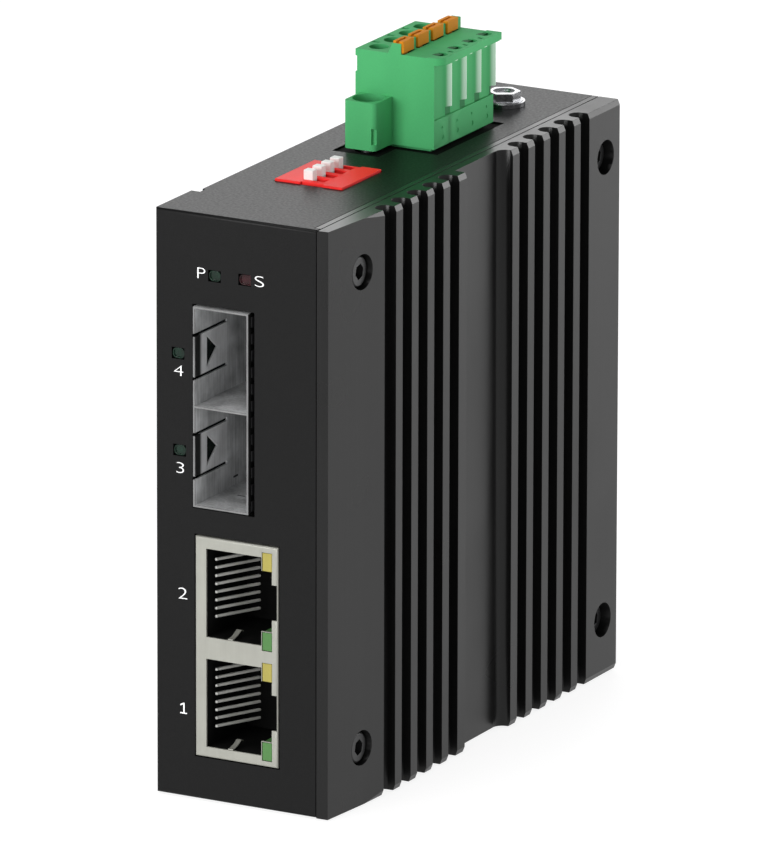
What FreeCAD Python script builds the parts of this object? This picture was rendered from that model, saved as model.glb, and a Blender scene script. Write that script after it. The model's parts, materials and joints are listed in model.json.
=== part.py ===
"""Fibre media converter for a 35 mm rail: finned side plate, folded steel shell,
double pluggable-optic cage, double network jack, slide switches and a pluggable
push-in terminal block.

Millimetres.  While it is built, X runs across the front from its left edge, Y runs
back from the front face and Z runs up from the underside.  On export every piece is
moved so that the origin is the middle of the footprint.
"""
import FreeCAD, Part
import math
import os

V = FreeCAD.Vector

# ---------------------------------------------------------------- shell
SHEET = 1.0                 # thickness of the folded steel
PANEL_WIDTH = 25.48         # front panel, left edge to right edge
FLANGE_DEPTH = 10.3         # front panel's return along the left side
SIDE_STEP = 0.95            # left cover lies this far inside that return
RELIEF_LENGTH = 1.5         # bend relief at the rear end of the return
RELIEF_WIDTH = 0.45
PANEL_OVERHANG = 0.85       # panel's right edge past the top and the bottom sheet
EDGE_ROUND = 0.45           # outside radius of the folds
SEAM = 0.1                  # gap between neighbouring panels
COVER_LAP = 6.5             # left cover's reach behind the front return

# ---------------------------------------------------------------- finned side plate
LIP_GAP = 0.12              # from the panel to the plate's front edge
LIP_WIDTH = 1.8             # front edge of the plate
KNEE_OUT = 2.65             # first slanted facet ends here, out from the lip
SINK_KNEE_Y = 8.9
LAND_OUT = 3.15             # plain land's outside where the first groove starts
LAND_FRONT = 13.9
TIP_OUT = 3.5               # tips of the fins
GROOVE_PITCH = 4.63
GROOVE_WIDTH = 2.69
GROOVE_DEPTH = 2.5
GROOVES = 5                 # grooves on each side of the middle flat
FIN_BEFORE_FLAT = 2.24
FLAT_LENGTH = 13.7          # recessed middle flat
FIN_BEHIND_FLAT = 2.0
REAR_LAND = 9.34            # plain land behind the last groove
FLAT_DEPTH = 1.95
FLAT_ROUND = 1.5            # concave corner along its rear wall
TIP_BEVEL_X = 0.32          # bevel along the tips, top and bottom
TIP_BEVEL_Z = 0.8
SCRIBE_OUT = 0.12           # fine line scribed along the top of the plate, from the lip
SCRIBE_WIDTH = 0.16
SCRIBE_DEPTH = 0.2

# ---------------------------------------------------------------- screws and posts
SCREW_FRONT_Y = 8.4         # the four corners share these places
SCREW_FROM_REAR = 4.3
SCREW_LOW_Z = 8.4
SCREW_FROM_TOP = 7.6
SCREW_HEAD_RADIUS = 2.25
SCREW_HEAD_HEIGHT = 2.5
SCREW_SUNK = 1.35           # head's top below the tips of the fins
HEAD_CHAMFER = 0.25
SCREW_SOCKET_FLATS = 2.0
SCREW_SOCKET_DEPTH = 1.3
SCREW_SHANK_RADIUS = 1.25
SCREW_REACH = 4.5           # shank length below the head
COUNTERBORE_RADIUS = 2.55
HOLE_CLEARANCE = 0.15       # radial room round a shank
POST_RADIUS = 2.4
POST_SHOULDER_RADIUS = 3.2
LUG_SIZE = 7.0              # square lugs of the shell behind the front screws
LUG_THICK = 2.0
FLAT_HEAD_RADIUS = 2.35
FLAT_SCREW_REACH = 3.2
RETURN_SCREW_Y = 6.9        # screws through the front return

# ---------------------------------------------------------------- circuit board
BOARD_X = 4.5               # solder side
BOARD_THICKNESS = 1.6
BOARD_FRONT_Y = 1.6
BOARD_FROM_REAR = 1.6
BOARD_BOTTOM_Z = 2.2
BOARD_FROM_TOP = 2.6
SPACER_FLATS = 4.0
SPACER_PLACES = ((30.0, 40.0), (66.0, 12.0), (66.0, 48.0))
BOARD_SCREW_RADIUS = 1.0
BOARD_SCREW_HEAD = 1.9
BOARD_SCREW_HEAD_HEIGHT = 1.3
BOARD_SCREW_REACH = 2.2
PIN_HOLE_ROOM = 0.1

# ---------------------------------------------------------------- optic cage
CAGE_X = 6.16
CAGE_WIDTH = 8.8
CAGE_GAP = 4.15             # from the top of the network jack to the cage
CAGE_HEIGHT = 29.0
CAGE_DEPTH = 47.0
CAGE_PROUD = 0.35           # stands out of the panel
CAGE_WALL = 0.3
CAGE_CUT_CLEAR = 0.25       # panel cut-out round the cage
FINGER_ROOM = 0.8           # extra width of the cut-out for the spring fingers
FINGERS = 12
FINGER_THICK = 0.2
CAGE_SLOT_WIDTH = 0.45      # two slots from the front edge set the latch tongue free
CAGE_SLOT_LENGTH = 9.2
CAGE_TONGUE = 6.3           # slot to slot across the tongue
LATCH_HOLE_Y = 3.2          # three-cornered hole that takes the optic's latch
LATCH_HOLE_LENGTH = 2.9
LATCH_HOLE_WIDTH = 4.6
EDGE_SOCKET = (6.0, 8.9, 11.2)      # connector in a bay: width, length, height
EDGE_SOCKET_ROOM = 0.3              # from the cage's inside
EDGE_MOUTH = (2.0, 6.2, 9.6)        # its slot for the optic's board
EDGE_MOUTH_INSET = 1.8
FINGER_BULGE = 0.42                 # how far a finger stands out from the cage
FINGER_SHARE = 0.6                  # of its pitch that a finger takes

# ---------------------------------------------------------------- network jack
JACK_X = 6.42
JACK_WIDTH = 13.15
JACK_BOTTOM_Z = 6.4
JACK_DEPTH = 15.8
JACK_PROUD = 0.25
JACK_WALL = 0.3
JACK_CUT_CLEAR = 0.2
PORT_PITCH = 16.05
PORTS = 2
PORT_RISE = 1.52            # lower bay's floor above the jack's underside
PORT_HEIGHT = 12.87
PORT_X = 8.2
PORT_WIDTH = 8.78
PORT_DEPTH = 11.6
COLUMN_WIDTH = 1.67         # step of the bay between its two lamps
COLUMN_BOTTOM = 2.15
COLUMN_HEIGHT = 8.75
KEY_WIDTH = 0.78            # slot for the plug's latch
KEY_BOTTOM = 3.9
KEY_HEIGHT = 5.15
LAMP_X = 17.12
LAMP_WIDTH = 1.5
LAMP_HEIGHT = 2.65
LAMP_LENGTH = 9.0
LAMP_INSET = 0.05           # lamps stay this far behind the shield's face
LAMP_CLEAR = 0.06
GREEN_LAMP_Z = -0.65        # from the bay's floor
YELLOW_LAMP_Z = 10.9
WIRES = 8
WIRE_PITCH = 1.186
WIRE_SIZE = 0.42
WIRE_FIRST = 2.65           # lowest wire above the bay's floor
WIRE_TIP = (0.65, 1.4)      # front end of a wire: in from the bay's side, back from the panel
WIRE_RUN = (3.35, 6.35)     # its slanting run

# ---------------------------------------------------------------- lamps
PIPE_HEIGHT = 1.5
PIPE_WIDTH = 1.85
PIPE_CLEAR = 0.08
POWER_PLACE = (8.5, 3.9)    # across, and up from the top of the cage
STATUS_PLACE = (13.3, 4.0)
PORT_4_PLACE = (2.7, 21.05)     # across, and up from the underside of the cage
PORT_3_PLACE = (2.9, 7.05)
PIPE_ARM = 1.4              # thickness of the arm that runs to the board
POWER_ARM_Y = 2.0
STATUS_ARM_Y = 3.9
PIPE_RECESS = 0.15          # pipe's face behind the panel's
EDGE_PIPE_END = 3.5
SMALL_LAMP = (0.8, 1.2, 1.3)

# ---------------------------------------------------------------- slide switches
SWITCH_X = 7.6
SWITCH_WIDTH = 10.7
SWITCH_Y = 20.6
SWITCH_LENGTH = 11.5
SWITCH_PROUD = 0.3
SWITCH_COVER = 0.6
SWITCH_DEPTH = 5.4
SWITCH_CLEAR = 0.15
SLIDERS = 4
SLIDER_PITCH = 2.54
SLIDER_FIRST_Y = 22.9
KNOB_X = 11.25
KNOB_WIDTH = 1.5
KNOB_THICK = 1.3
KNOB_HEIGHT = 1.35
KNOB_ROUND = 0.12
KNOB_TRAVEL = 1.8
KNOB_CLEAR = 0.1
FOOT_EXTRA = 0.35
FOOT_HEIGHT = 0.8
FOOT_CLEAR = 0.15           # between a slider's foot and the cover
COVER_NOTCH_X = 11.6        # shallow notch in the cover's front and rear edge
COVER_NOTCH_WIDTH = 3.6
COVER_NOTCH_DEPTH = 0.5

# ---------------------------------------------------------------- terminal block
PLUG_X = 7.15
PLUG_WIDTH = 12.6
PLUG_Y = 44.9
POLES = 4
POLE_PITCH = 4.38
BAY_WALL = 0.2              # front wall before the first bay of the right side
PLUG_LIFT = 0.3             # underside of the plug above the top sheet
DECK_HEIGHT = 13.5          # plug's deck above the top sheet
RIB_X = 12.4
RIB_TOP_X = 13.05
RIB_RIGHT_X = 14.47
RIB_HEIGHT = 1.55           # above the deck
STRIP_X = 18.7
STRIP_EDGE_X = 21.05
STRIP_RISE = 0.12
STRIP_THICK = 1.0           # its underside below the deck
STRIP_ROUND = 1.4
BAND_HEIGHT = 4.4           # top of the plain skirt on the right side, above the top sheet
BAY_X = 19.35               # floor of the hollow bays above it
BAY_SLOPE = 0.12
BAY_STRAIGHT = 2.5          # bays run straight this far, then curve out
RIDGE_X = 20.15             # ridges between the bays
RIDGE_FLAT = 0.16
NOTCH_HEIGHT = 1.35         # notch under each ridge
NOTCH_START = 3.3
WIRE_HOLE_X = 9.6
WIRE_HOLE_RADIUS = 1.45
WIRE_HOLE_DEPTH = 8.0
WIRE_HOLE_OFFSET = 0.1      # behind the pole's middle
DECK_SLOT = (1.1, 0.7, 2.0)     # small slot between two wire entries
DECK_SLOT_X = 7.4
DECK_SLOT_OFFSET = 1.9
TEST_HOLE_X = 19.4
TEST_HOLE_RADIUS = 1.05
TEST_HOLE_DEPTH = 0.9
STRIP_SLOT = (0.8, 0.6)     # small slot between two test holes
STRIP_SLOT_X = 19.6
STRIP_SLOT_OFFSET = 1.8
SIDE_INDENT = (0.25, 2.3)   # shallow step along the plug's left side: depth and height
SIDE_INDENT_DROP = 1.0
EAR_X = 7.95
EAR_WIDTH = 5.1
EAR_DEPTH = 5.0
EAR_HEIGHT = 7.25
EAR_HOLE_RADIUS = 2.3
EAR_ROUND = 0.7
EAR_SEAT_DEPTH = 4.0        # screw's seat below the ear's top
EAR_HOLE_OFFSET = 0.2       # hole's middle out from the ear's
EAR_NOTCH_WIDTH = 0.65
EAR_NOTCH_DEPTH = 0.5
EAR_NOTCH_RISE = 1.2
EAR_NOTCH_HEIGHT = 2.35
TONGUE_INSET = 1.2          # part of the plug that goes into the header
TONGUE_DEPTH = 7.0
TONGUE_CLEAR = 0.3
HEADER_RIM = 1.05
HEADER_RECESS = 0.25        # rim below the outside of the top sheet
HEADER_DEPTH = 10.5
HEADER_CLEAR = 0.12
PIN_SIZE = 1.0
PIN_CLEAR = 0.2
PIN_X = 11.6
PIN_DROP = 1.2              # pins' run below the header
PIN_TOP_DROP = 1.0          # pins' tips below the plug's underside
PIN_TAIL = 1.2              # past the board
CAGE_HEADROOM = 0.9         # from the cage to the pins' run
CONTACT_WALL = 0.35
LEVER_X = 13.1
LEVER_WIDTH = 1.65
LEVER_THICK = 3.15
LEVER_RISE = 0.12           # lever's underside above the deck
LEVER_CAP = 1.73
LEVER_ROUND = 0.15
LEVER_GROOVE = (0.5, 0.45, 0.35)    # start, width and depth
LEVER_GROOVE_END = 0.5
LEVER_STEM = 1.2
LEVER_STEM_LENGTH = 3.0
LEVER_TRAVEL = 1.1
LEVER_CLEAR = 0.15
LEVER_OFFSET = -0.66        # lever's middle from its pole's middle
FLANGE_SCREW_RADIUS = 1.1
FLANGE_SCREW_HEAD = 1.95
FLANGE_HEAD_HEIGHT = 1.6
FLANGE_SLOT = (0.6, 0.7)    # width and depth
FLANGE_REACH = 3.5          # below the header's top
INSERT_WALL = 0.9
INSERT_DEPTH = 5.5
INSERT_LENGTH = 4.5
INSERT_THREAD = 0.2
CONTACT_GAP = 0.02
CONTACT_RISE = 0.6
CONTACT_TOP = 0.15
CONTACT_ROOF = 0.3

# ---------------------------------------------------------------- earth screw
EARTH_X = 16.0
EARTH_GAP = 5.28            # from the plug's rear ear to the screw
EARTH_FLANGE_RADIUS = 3.05
EARTH_FLANGE = 0.7
EARTH_FLATS = 4.2
EARTH_HEAD = 1.35
EARTH_DISH = 0.35
EARTH_DISH_WALL = 0.7
EARTH_CORNER = 0.15         # corners turned off the hexagon's top
EARTH_SHANK_RADIUS = 1.5
EARTH_REACH = 6.0
EARTH_NUT_FLATS = 5.5
EARTH_NUT = 2.4

# ---------------------------------------------------------------- parts on the board
CHIP_FROM_REAR = 22.0       # from the board's rear edge
CHIP_RISE = 27.8            # above its lower edge
CHIP_SIZE = 12.0
CHIP_THICK = 1.6
CHIP_STANDOFF = 0.15
CHIP_LEADS = 10             # on each side
CHIP_LEAD_PITCH = 1.1
CHIP_LEAD = (0.6, 0.4, 1.0)     # height, width and reach
PAD_THICK = 0.5
SPREADER_CHAMFER = 0.8
LINE_SIZE = (5.6, 12.0, 14.0)   # signal transformer
LINE_GAP = 6.45             # behind the jack
LINE_RISE = 11.8            # above the board's lower edge
LINE_STANDOFF = 0.4
LINE_LEADS = 8              # on each side
LINE_LEAD_PITCH = 1.6
LINE_LEAD = (0.9, 0.7, 1.4)     # height, width and reach
COIL_SIZE = (4.5, 8.0)      # height and side of the supply's coil
COIL_FROM_REAR = 21.0
COIL_FROM_TOP = 22.4
COIL_ROUND = 1.6
COIL_DIMPLE = (2.6, 0.5)
CANS_FROM_REAR = 10.0
CANS = ((16.4, 3.15, 7.7), (24.9, 3.15, 7.7), (32.9, 2.5, 5.8))    # from the top, radius, height
CAN_FOOT = 0.8
CAN_LIP = 0.1
CAN_ROUND = 0.4

# ---------------------------------------------------------------- rail clip
RAIL_HEIGHT = 35.0
RAIL_SLOT = 1.5             # room for the rail's 1 mm lip
CLIP_X = 5.0
CLIP_WIDTH = 15.0
CLIP_PLATE = 2.4
CLIP_BELOW_RAIL = 16.0      # underside of the clip below the rail's lower edge
CLIP_ABOVE_RAIL = 6.5
HOOK_THICK = 2.7
HOOK_DROP = 3.0
HOOK_ROOM = 0.25
HOOK_LEAD = (0.8, 0.6, 1.2)     # slants of the hook's nose: in, and up at both sides
HOOK_SHOULDER = (3.0, 2.0)      # slant above the hook: in, and start above the rail
GUIDE_WIDTH = 2.0
GUIDE_LIP = 1.1
GUIDE_LAP = 1.2             # lip's reach over the latch past its guide
GUIDE_LENGTH = 9.0
LATCH_CLEAR = 0.3
LATCH_FOOT = 4.8            # latch's lower end below the clip's
LATCH_CATCH = 2.3           # overlap with the rail's lower lip
LATCH_TRAVEL = 3.2
CATCH_ROOM = 0.3            # from the latch to the rail
CATCH_NOSE = 0.7
SPRING_LENGTH = 10.38
SPRING_GAP = 0.02
SPRING_WINDOW = 4.2
PULL_SLOT = (1.4, 1.6)      # start above the latch's lower end, and height
SPRING_RADIUS = 1.15
SPRING_WIRE = 0.4
SPRING_TURNS = 5
SPRING_RUNS = 12            # straight runs in one turn
STOP_HEIGHT = 1.6
STOP_WIDTH = 3.4
CLIP_SCREW_RADIUS = 1.5
CLIP_SCREW_HEAD = 2.7
CLIP_SCREW_SINK = 1.4
CLIP_SCREW_LENGTH = 6.3
CLIP_SCREW_CROSS = (3.2, 0.7)
CLIP_SCREW_OFF = 9.5        # each side of the rail's middle
CLIP_NUT = 2.2

# ---------------------------------------------------------------- worked out
TOP_RIGHT = PANEL_WIDTH - PANEL_OVERHANG
SINK_LIP_X = PANEL_WIDTH + LIP_GAP
SINK_FRONT_X = SINK_LIP_X + LIP_WIDTH
SINK_KNEE_X = SINK_LIP_X + KNEE_OUT
LAND_END_X = SINK_LIP_X + LAND_OUT
SINK_TIP_X = SINK_LIP_X + TIP_OUT
SCRIBE_X = SINK_LIP_X + SCRIBE_OUT
SCREW_HEAD_TOP_X = SINK_TIP_X - SCREW_SUNK
GROOVE_RUN = (GROOVES - 1) * GROOVE_PITCH + GROOVE_WIDTH
FLAT_START = LAND_FRONT + GROOVE_RUN + FIN_BEFORE_FLAT
FLAT_END = FLAT_START + FLAT_LENGTH
SECOND_START = FLAT_END + FIN_BEHIND_FLAT
SHELL_DEPTH = SECOND_START + GROOVE_RUN + REAR_LAND
JACK_HEIGHT = PORTS * PORT_PITCH
JACK_TOP_Z = JACK_BOTTOM_Z + JACK_HEIGHT
CAGE_BOTTOM_Z = JACK_TOP_Z + CAGE_GAP
CAGE_TOP_Z = CAGE_BOTTOM_Z + CAGE_HEIGHT
PIN_FOOT_Z = CAGE_TOP_Z + CAGE_HEADROOM + PIN_SIZE / 2
HEADER_TOP_Z = PIN_FOOT_Z + PIN_DROP + HEADER_DEPTH
SHELL_HEIGHT = HEADER_TOP_Z + HEADER_RECESS
SCREW_REAR_Y = SHELL_DEPTH - SCREW_FROM_REAR
SCREW_HIGH_Z = SHELL_HEIGHT - SCREW_FROM_TOP
BOARD_FACE_X = BOARD_X + BOARD_THICKNESS
BOARD_REAR_Y = SHELL_DEPTH - BOARD_FROM_REAR
BOARD_TOP_Z = SHELL_HEIGHT - BOARD_FROM_TOP
POWER_PIPE = (POWER_PLACE[0], CAGE_TOP_Z + POWER_PLACE[1])
STATUS_PIPE = (STATUS_PLACE[0], CAGE_TOP_Z + STATUS_PLACE[1])
PORT_4_PIPE = (PORT_4_PLACE[0], CAGE_BOTTOM_Z + PORT_4_PLACE[1])
PORT_3_PIPE = (PORT_3_PLACE[0], CAGE_BOTTOM_Z + PORT_3_PLACE[1])
SINK_INNER_X = TOP_RIGHT + SEAM
COVER_X = SIDE_STEP
COVER_INNER_X = COVER_X + SHEET
TOP_Z = SHELL_HEIGHT - SHEET
HEAD_SEAT_X = SCREW_HEAD_TOP_X - SCREW_HEAD_HEIGHT
CORNER_ZS = (SCREW_LOW_Z, SCREW_HIGH_Z)
CORNERS = tuple((y, z) for y in (SCREW_FRONT_Y, SCREW_REAR_Y) for z in CORNER_ZS)
CAGE_FRONT_Y = -CAGE_PROUD
JACK_FRONT_Y = -JACK_PROUD
PORT_FLOORS = tuple(JACK_BOTTOM_Z + PORT_RISE + i * PORT_PITCH for i in range(PORTS))
PLUG_LENGTH = POLES * POLE_PITCH + BAY_WALL
PLUG_RIGHT_X = PLUG_X + PLUG_WIDTH
PLUG_REAR_Y = PLUG_Y + PLUG_LENGTH
PLUG_BOTTOM_Z = SHELL_HEIGHT + PLUG_LIFT
BAY_YS = tuple(PLUG_Y + BAY_WALL + i * POLE_PITCH for i in range(POLES))
POLE_Y = tuple(y + POLE_PITCH / 2 for y in BAY_YS)
EAR_YS = (PLUG_Y - EAR_DEPTH, PLUG_REAR_Y)
EAR_MIDDLES = (PLUG_Y - EAR_DEPTH / 2 + EAR_HOLE_OFFSET, PLUG_REAR_Y + EAR_DEPTH / 2 - EAR_HOLE_OFFSET)
EAR_TOP_Z = SHELL_HEIGHT + EAR_HEIGHT
DECK_Z = SHELL_HEIGHT + DECK_HEIGHT
RIB_Z = DECK_Z + RIB_HEIGHT
STRIP_UNDER_Z = DECK_Z - STRIP_THICK
BAND_Z = SHELL_HEIGHT + BAND_HEIGHT
LEVER_BOTTOM_Z = DECK_Z + LEVER_RISE
LEVER_TOP_Z = LEVER_BOTTOM_Z + LEVER_CAP
EARTH_Y = PLUG_REAR_Y + EAR_DEPTH + EARTH_GAP
SWITCH_TOP_Z = SHELL_HEIGHT + SWITCH_PROUD
SLIDER_YS = tuple(SLIDER_FIRST_Y + i * SLIDER_PITCH for i in range(SLIDERS))
FOOT_TOP_Z = SWITCH_TOP_Z - SWITCH_COVER - FOOT_CLEAR
CHIP_Y = BOARD_REAR_Y - CHIP_FROM_REAR
CHIP_Z = BOARD_BOTTOM_Z + CHIP_RISE
CLIP_Y = SHELL_DEPTH + 0.02
CLIP_FACE_Y = CLIP_Y + CLIP_PLATE
HOOK_Y = CLIP_FACE_Y + RAIL_SLOT
CLIP_REAR_Y = HOOK_Y + HOOK_THICK
CLIP_MIDDLE_X = CLIP_X + CLIP_WIDTH / 2
RAIL_MIDDLE_Z = SHELL_HEIGHT / 2
RAIL_TOP_Z = RAIL_MIDDLE_Z + RAIL_HEIGHT / 2
RAIL_BOTTOM_Z = RAIL_MIDDLE_Z - RAIL_HEIGHT / 2
CLIP_BOTTOM_Z = RAIL_BOTTOM_Z - CLIP_BELOW_RAIL
CLIP_TOP_Z = RAIL_TOP_Z + CLIP_ABOVE_RAIL
GUIDE_TOP_Z = CLIP_BOTTOM_Z + GUIDE_LENGTH
LATCH_BOTTOM_Z = CLIP_BOTTOM_Z - LATCH_FOOT
SPRING_LOW_Z = CLIP_BOTTOM_Z + STOP_HEIGHT + SPRING_GAP
SPRING_TOP_Z = SPRING_LOW_Z + SPRING_LENGTH
CLIP_SCREWS_Z = (RAIL_MIDDLE_Z - CLIP_SCREW_OFF, RAIL_MIDDLE_Z + CLIP_SCREW_OFF)
ORIGIN = V(SINK_TIP_X / 2, (CLIP_REAR_Y - CAGE_PROUD) / 2, 0)


# ---------------------------------------------------------------- helpers
def block(x0, x1, y0, y1, z0, z1):
    """A box between two opposite corners."""
    return Part.makeBox(x1 - x0, y1 - y0, z1 - z0, V(x0, y0, z0))


def rod(radius, length, start, direction):
    """A cylinder from a start point along a direction."""
    return Part.makeCylinder(radius, length, start, direction)


def prism(points, along):
    """A flat outline pushed along a vector."""
    return Part.Face(Part.makePolygon(points + [points[0]])).extrude(along)


def hex_bar(flats, length, start, direction, turn=0.0):
    """A hexagonal bar of a given width across flats, along X, Y or Z."""
    radius = flats / math.sqrt(3)
    outline = []
    for i in range(6):
        angle = math.radians(60 * i + turn)
        a, b = radius * math.cos(angle), radius * math.sin(angle)
        if abs(direction.x) > 0.5:
            outline.append(start + V(0, a, b))
        elif abs(direction.y) > 0.5:
            outline.append(start + V(a, 0, b))
        else:
            outline.append(start + V(a, b, 0))
    return prism(outline, direction * length)


def edges_where(shape, test):
    """Edges whose bounding box passes a test."""
    return [edge for edge in shape.Edges if test(edge.BoundBox)]


def fuse(shapes):
    """One solid from many that touch."""
    first = shapes[0]
    return first.fuse(shapes[1:]).removeSplitter() if len(shapes) > 1 else first


def group(shapes):
    """Separate solids kept in one node."""
    return Part.makeCompound(shapes)


# ---------------------------------------------------------------- shell and covers
def header_outline(room):
    """Plan of the terminal header with some room round it: the block and its two ears."""
    x0, x1 = PLUG_X - room, PLUG_RIGHT_X + room
    y0, y1 = PLUG_Y - room, PLUG_REAR_Y + room
    e0, e1 = EAR_X - room, EAR_X + EAR_WIDTH + room
    f0, f1 = EAR_YS[0] - room, EAR_YS[1] + EAR_DEPTH + room
    return [(e0, f0), (e1, f0), (e1, y0), (x1, y0), (x1, y1), (e1, y1),
            (e1, f1), (e0, f1), (e0, y1), (x0, y1), (x0, y0), (e0, y0)]


def header_prism(room, z0, z1):
    """The header's plan as a solid between two heights."""
    return prism([V(x, y, z0) for x, y in header_outline(room)], V(0, 0, z1 - z0))


def pipe_window(place, room):
    """Window for a lamp's light pipe in the front panel."""
    x, z = place
    return block(x - room, x + PIPE_WIDTH + room, -1, SHEET + 1, z - room, z + PIPE_HEIGHT + room)


def flat_screw_hole(x, y, z):
    """Countersunk hole through a sheet whose outside is at x."""
    place = V(x, y, z)
    sink = Part.makeCone(FLAT_HEAD_RADIUS + SEAM, SCREW_SHANK_RADIUS + SEAM, SHEET, place, V(1, 0, 0))
    return [rod(SCREW_SHANK_RADIUS + HOLE_CLEARANCE, SHEET + 0.5, place, V(1, 0, 0)), sink]


def main_shell():
    """Front, top and bottom folded from one sheet, with a short return on the left."""
    front = block(0, PANEL_WIDTH, 0, SHEET, 0, SHELL_HEIGHT)
    side = block(0, SHEET, 0, FLANGE_DEPTH, 0, SHELL_HEIGHT)
    pieces = [front, side]
    for z in (0, TOP_Z):
        pieces.append(block(SIDE_STEP, TOP_RIGHT, 0, SHELL_DEPTH, z, z + SHEET))
        pieces.append(block(0, SIDE_STEP, 0, FLANGE_DEPTH, z, z + SHEET))
    shell = fuse(pieces)

    def outside(box):
        flat_front = box.YMax < 1e-6
        level = box.ZLength < 1e-6 and (box.ZMax < 1e-6 or box.ZMin > SHELL_HEIGHT - 1e-6)
        upright = box.ZLength > SHELL_HEIGHT - 1e-3 and box.XMax < 1e-6
        return flat_front and (level and box.XLength > SHEET or upright)
    shell = shell.makeFillet(EDGE_ROUND, edges_where(shell, outside))
    for z, root_z in ((SCREW_LOW_Z, 0.5), (SCREW_HIGH_Z, SHELL_HEIGHT - 0.5)):
        low, high = min(z - LUG_SIZE / 2, root_z), max(z + LUG_SIZE / 2, root_z)
        shell = shell.fuse(block(TOP_RIGHT - LUG_THICK, TOP_RIGHT, SCREW_FRONT_Y - LUG_SIZE / 2,
                                 SCREW_FRONT_Y + LUG_SIZE / 2, low, high))
    cuts = [block(CAGE_X - CAGE_CUT_CLEAR, CAGE_X + CAGE_WIDTH + FINGER_ROOM, -1, SHEET + 1,
                  CAGE_BOTTOM_Z - CAGE_CUT_CLEAR, CAGE_TOP_Z + CAGE_CUT_CLEAR),
            block(JACK_X - JACK_CUT_CLEAR, JACK_X + JACK_WIDTH + JACK_CUT_CLEAR, -1, SHEET + 1,
                  JACK_BOTTOM_Z - JACK_CUT_CLEAR, JACK_TOP_Z + JACK_CUT_CLEAR),
            block(SWITCH_X - SWITCH_CLEAR, SWITCH_X + SWITCH_WIDTH + SWITCH_CLEAR,
                  SWITCH_Y - SWITCH_CLEAR, SWITCH_Y + SWITCH_LENGTH + SWITCH_CLEAR,
                  TOP_Z - 1, SHELL_HEIGHT + 1),
            header_prism(HEADER_RIM + HEADER_CLEAR, TOP_Z - 1, SHELL_HEIGHT + 1),
            rod(EARTH_SHANK_RADIUS + HOLE_CLEARANCE, SHEET + 2, V(EARTH_X, EARTH_Y, TOP_Z - 1), V(0, 0, 1))]
    for z in (0, TOP_Z):
        cuts.append(block(SIDE_STEP - 1, SIDE_STEP + RELIEF_WIDTH,
                          FLANGE_DEPTH, FLANGE_DEPTH + RELIEF_LENGTH, z - 1, z + SHEET + 1))
    for z in CORNER_ZS:
        cuts.append(rod(SCREW_SHANK_RADIUS, 6, V(TOP_RIGHT - 4, SCREW_FRONT_Y, z), V(1, 0, 0)))
        cuts += flat_screw_hole(0, RETURN_SCREW_Y, z)
    pipes = (POWER_PIPE, STATUS_PIPE, PORT_4_PIPE, PORT_3_PIPE)
    cuts += [pipe_window(place, PIPE_CLEAR) for place in pipes]
    return shell.cut(cuts)


def left_rear_cover():
    """Left side and rear folded from one sheet."""
    z0, z1 = SHEET + SEAM, TOP_Z - SEAM
    start_y = FLANGE_DEPTH - COVER_LAP
    side = block(COVER_INNER_X - SHEET + SEAM, COVER_INNER_X + SEAM, start_y, SHELL_DEPTH, z0, z1)
    rear = block(COVER_X + SEAM, TOP_RIGHT, SHELL_DEPTH - SHEET, SHELL_DEPTH, z0, z1)
    cover = fuse([side, rear])
    cover = cover.makeFillet(EDGE_ROUND, edges_where(
        cover, lambda b: b.ZLength > 10 and b.YMin > SHELL_DEPTH - 1e-3 and b.XMax < COVER_X + SHEET / 2))
    cuts = []
    for z in CORNER_ZS:
        cuts.append(rod(SCREW_SHANK_RADIUS + HOLE_CLEARANCE, 4, V(0, RETURN_SCREW_Y, z), V(1, 0, 0)))
        cuts += flat_screw_hole(COVER_X + SEAM, SCREW_REAR_Y, z)
    for z in CLIP_SCREWS_Z:
        cuts.append(rod(CLIP_SCREW_RADIUS + HOLE_CLEARANCE, SHEET + 2,
                        V(CLIP_MIDDLE_X, SHELL_DEPTH - SHEET - 1, z), V(0, 1, 0)))
    return cover.cut(cuts)


def sink_outline():
    """Plan of the finned side plate without its grooves."""
    back = SHELL_DEPTH
    lip_y = SHEET + SEAM
    return [V(SINK_LIP_X, 0, 0), V(SINK_FRONT_X, 0, 0), V(SINK_KNEE_X, SINK_KNEE_Y, 0),
            V(LAND_END_X, LAND_FRONT, 0), V(LAND_END_X, LAND_FRONT + GROOVE_WIDTH / 2, 0),
            V(SINK_TIP_X, LAND_FRONT + GROOVE_WIDTH / 2, 0), V(SINK_TIP_X, back, 0),
            V(SINK_INNER_X, back, 0), V(SINK_INNER_X, lip_y, 0), V(SINK_LIP_X, lip_y, 0)]


def groove(start_y):
    """One upright groove with a round floor."""
    half = GROOVE_WIDTH / 2
    floor_x = SINK_TIP_X - GROOVE_DEPTH + half
    straight = block(floor_x, SINK_TIP_X + 1, start_y, start_y + GROOVE_WIDTH, -1, SHELL_HEIGHT + 1)
    floor = rod(half, SHELL_HEIGHT + 2, V(floor_x, start_y + half, -1), V(0, 0, 1))
    return straight.fuse(floor)


def middle_flat():
    """Cutter for the recessed flat between the two sets of fins."""
    floor_x = SINK_TIP_X - FLAT_DEPTH
    cutter = block(floor_x, SINK_TIP_X + 1, FLAT_START, FLAT_END, -1, SHELL_HEIGHT + 1)
    return cutter.makeFillet(FLAT_ROUND, edges_where(
        cutter, lambda b: b.ZLength > 10 and b.XMax < floor_x + 1e-3 and b.YMin > FLAT_END - 1e-3))


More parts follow.
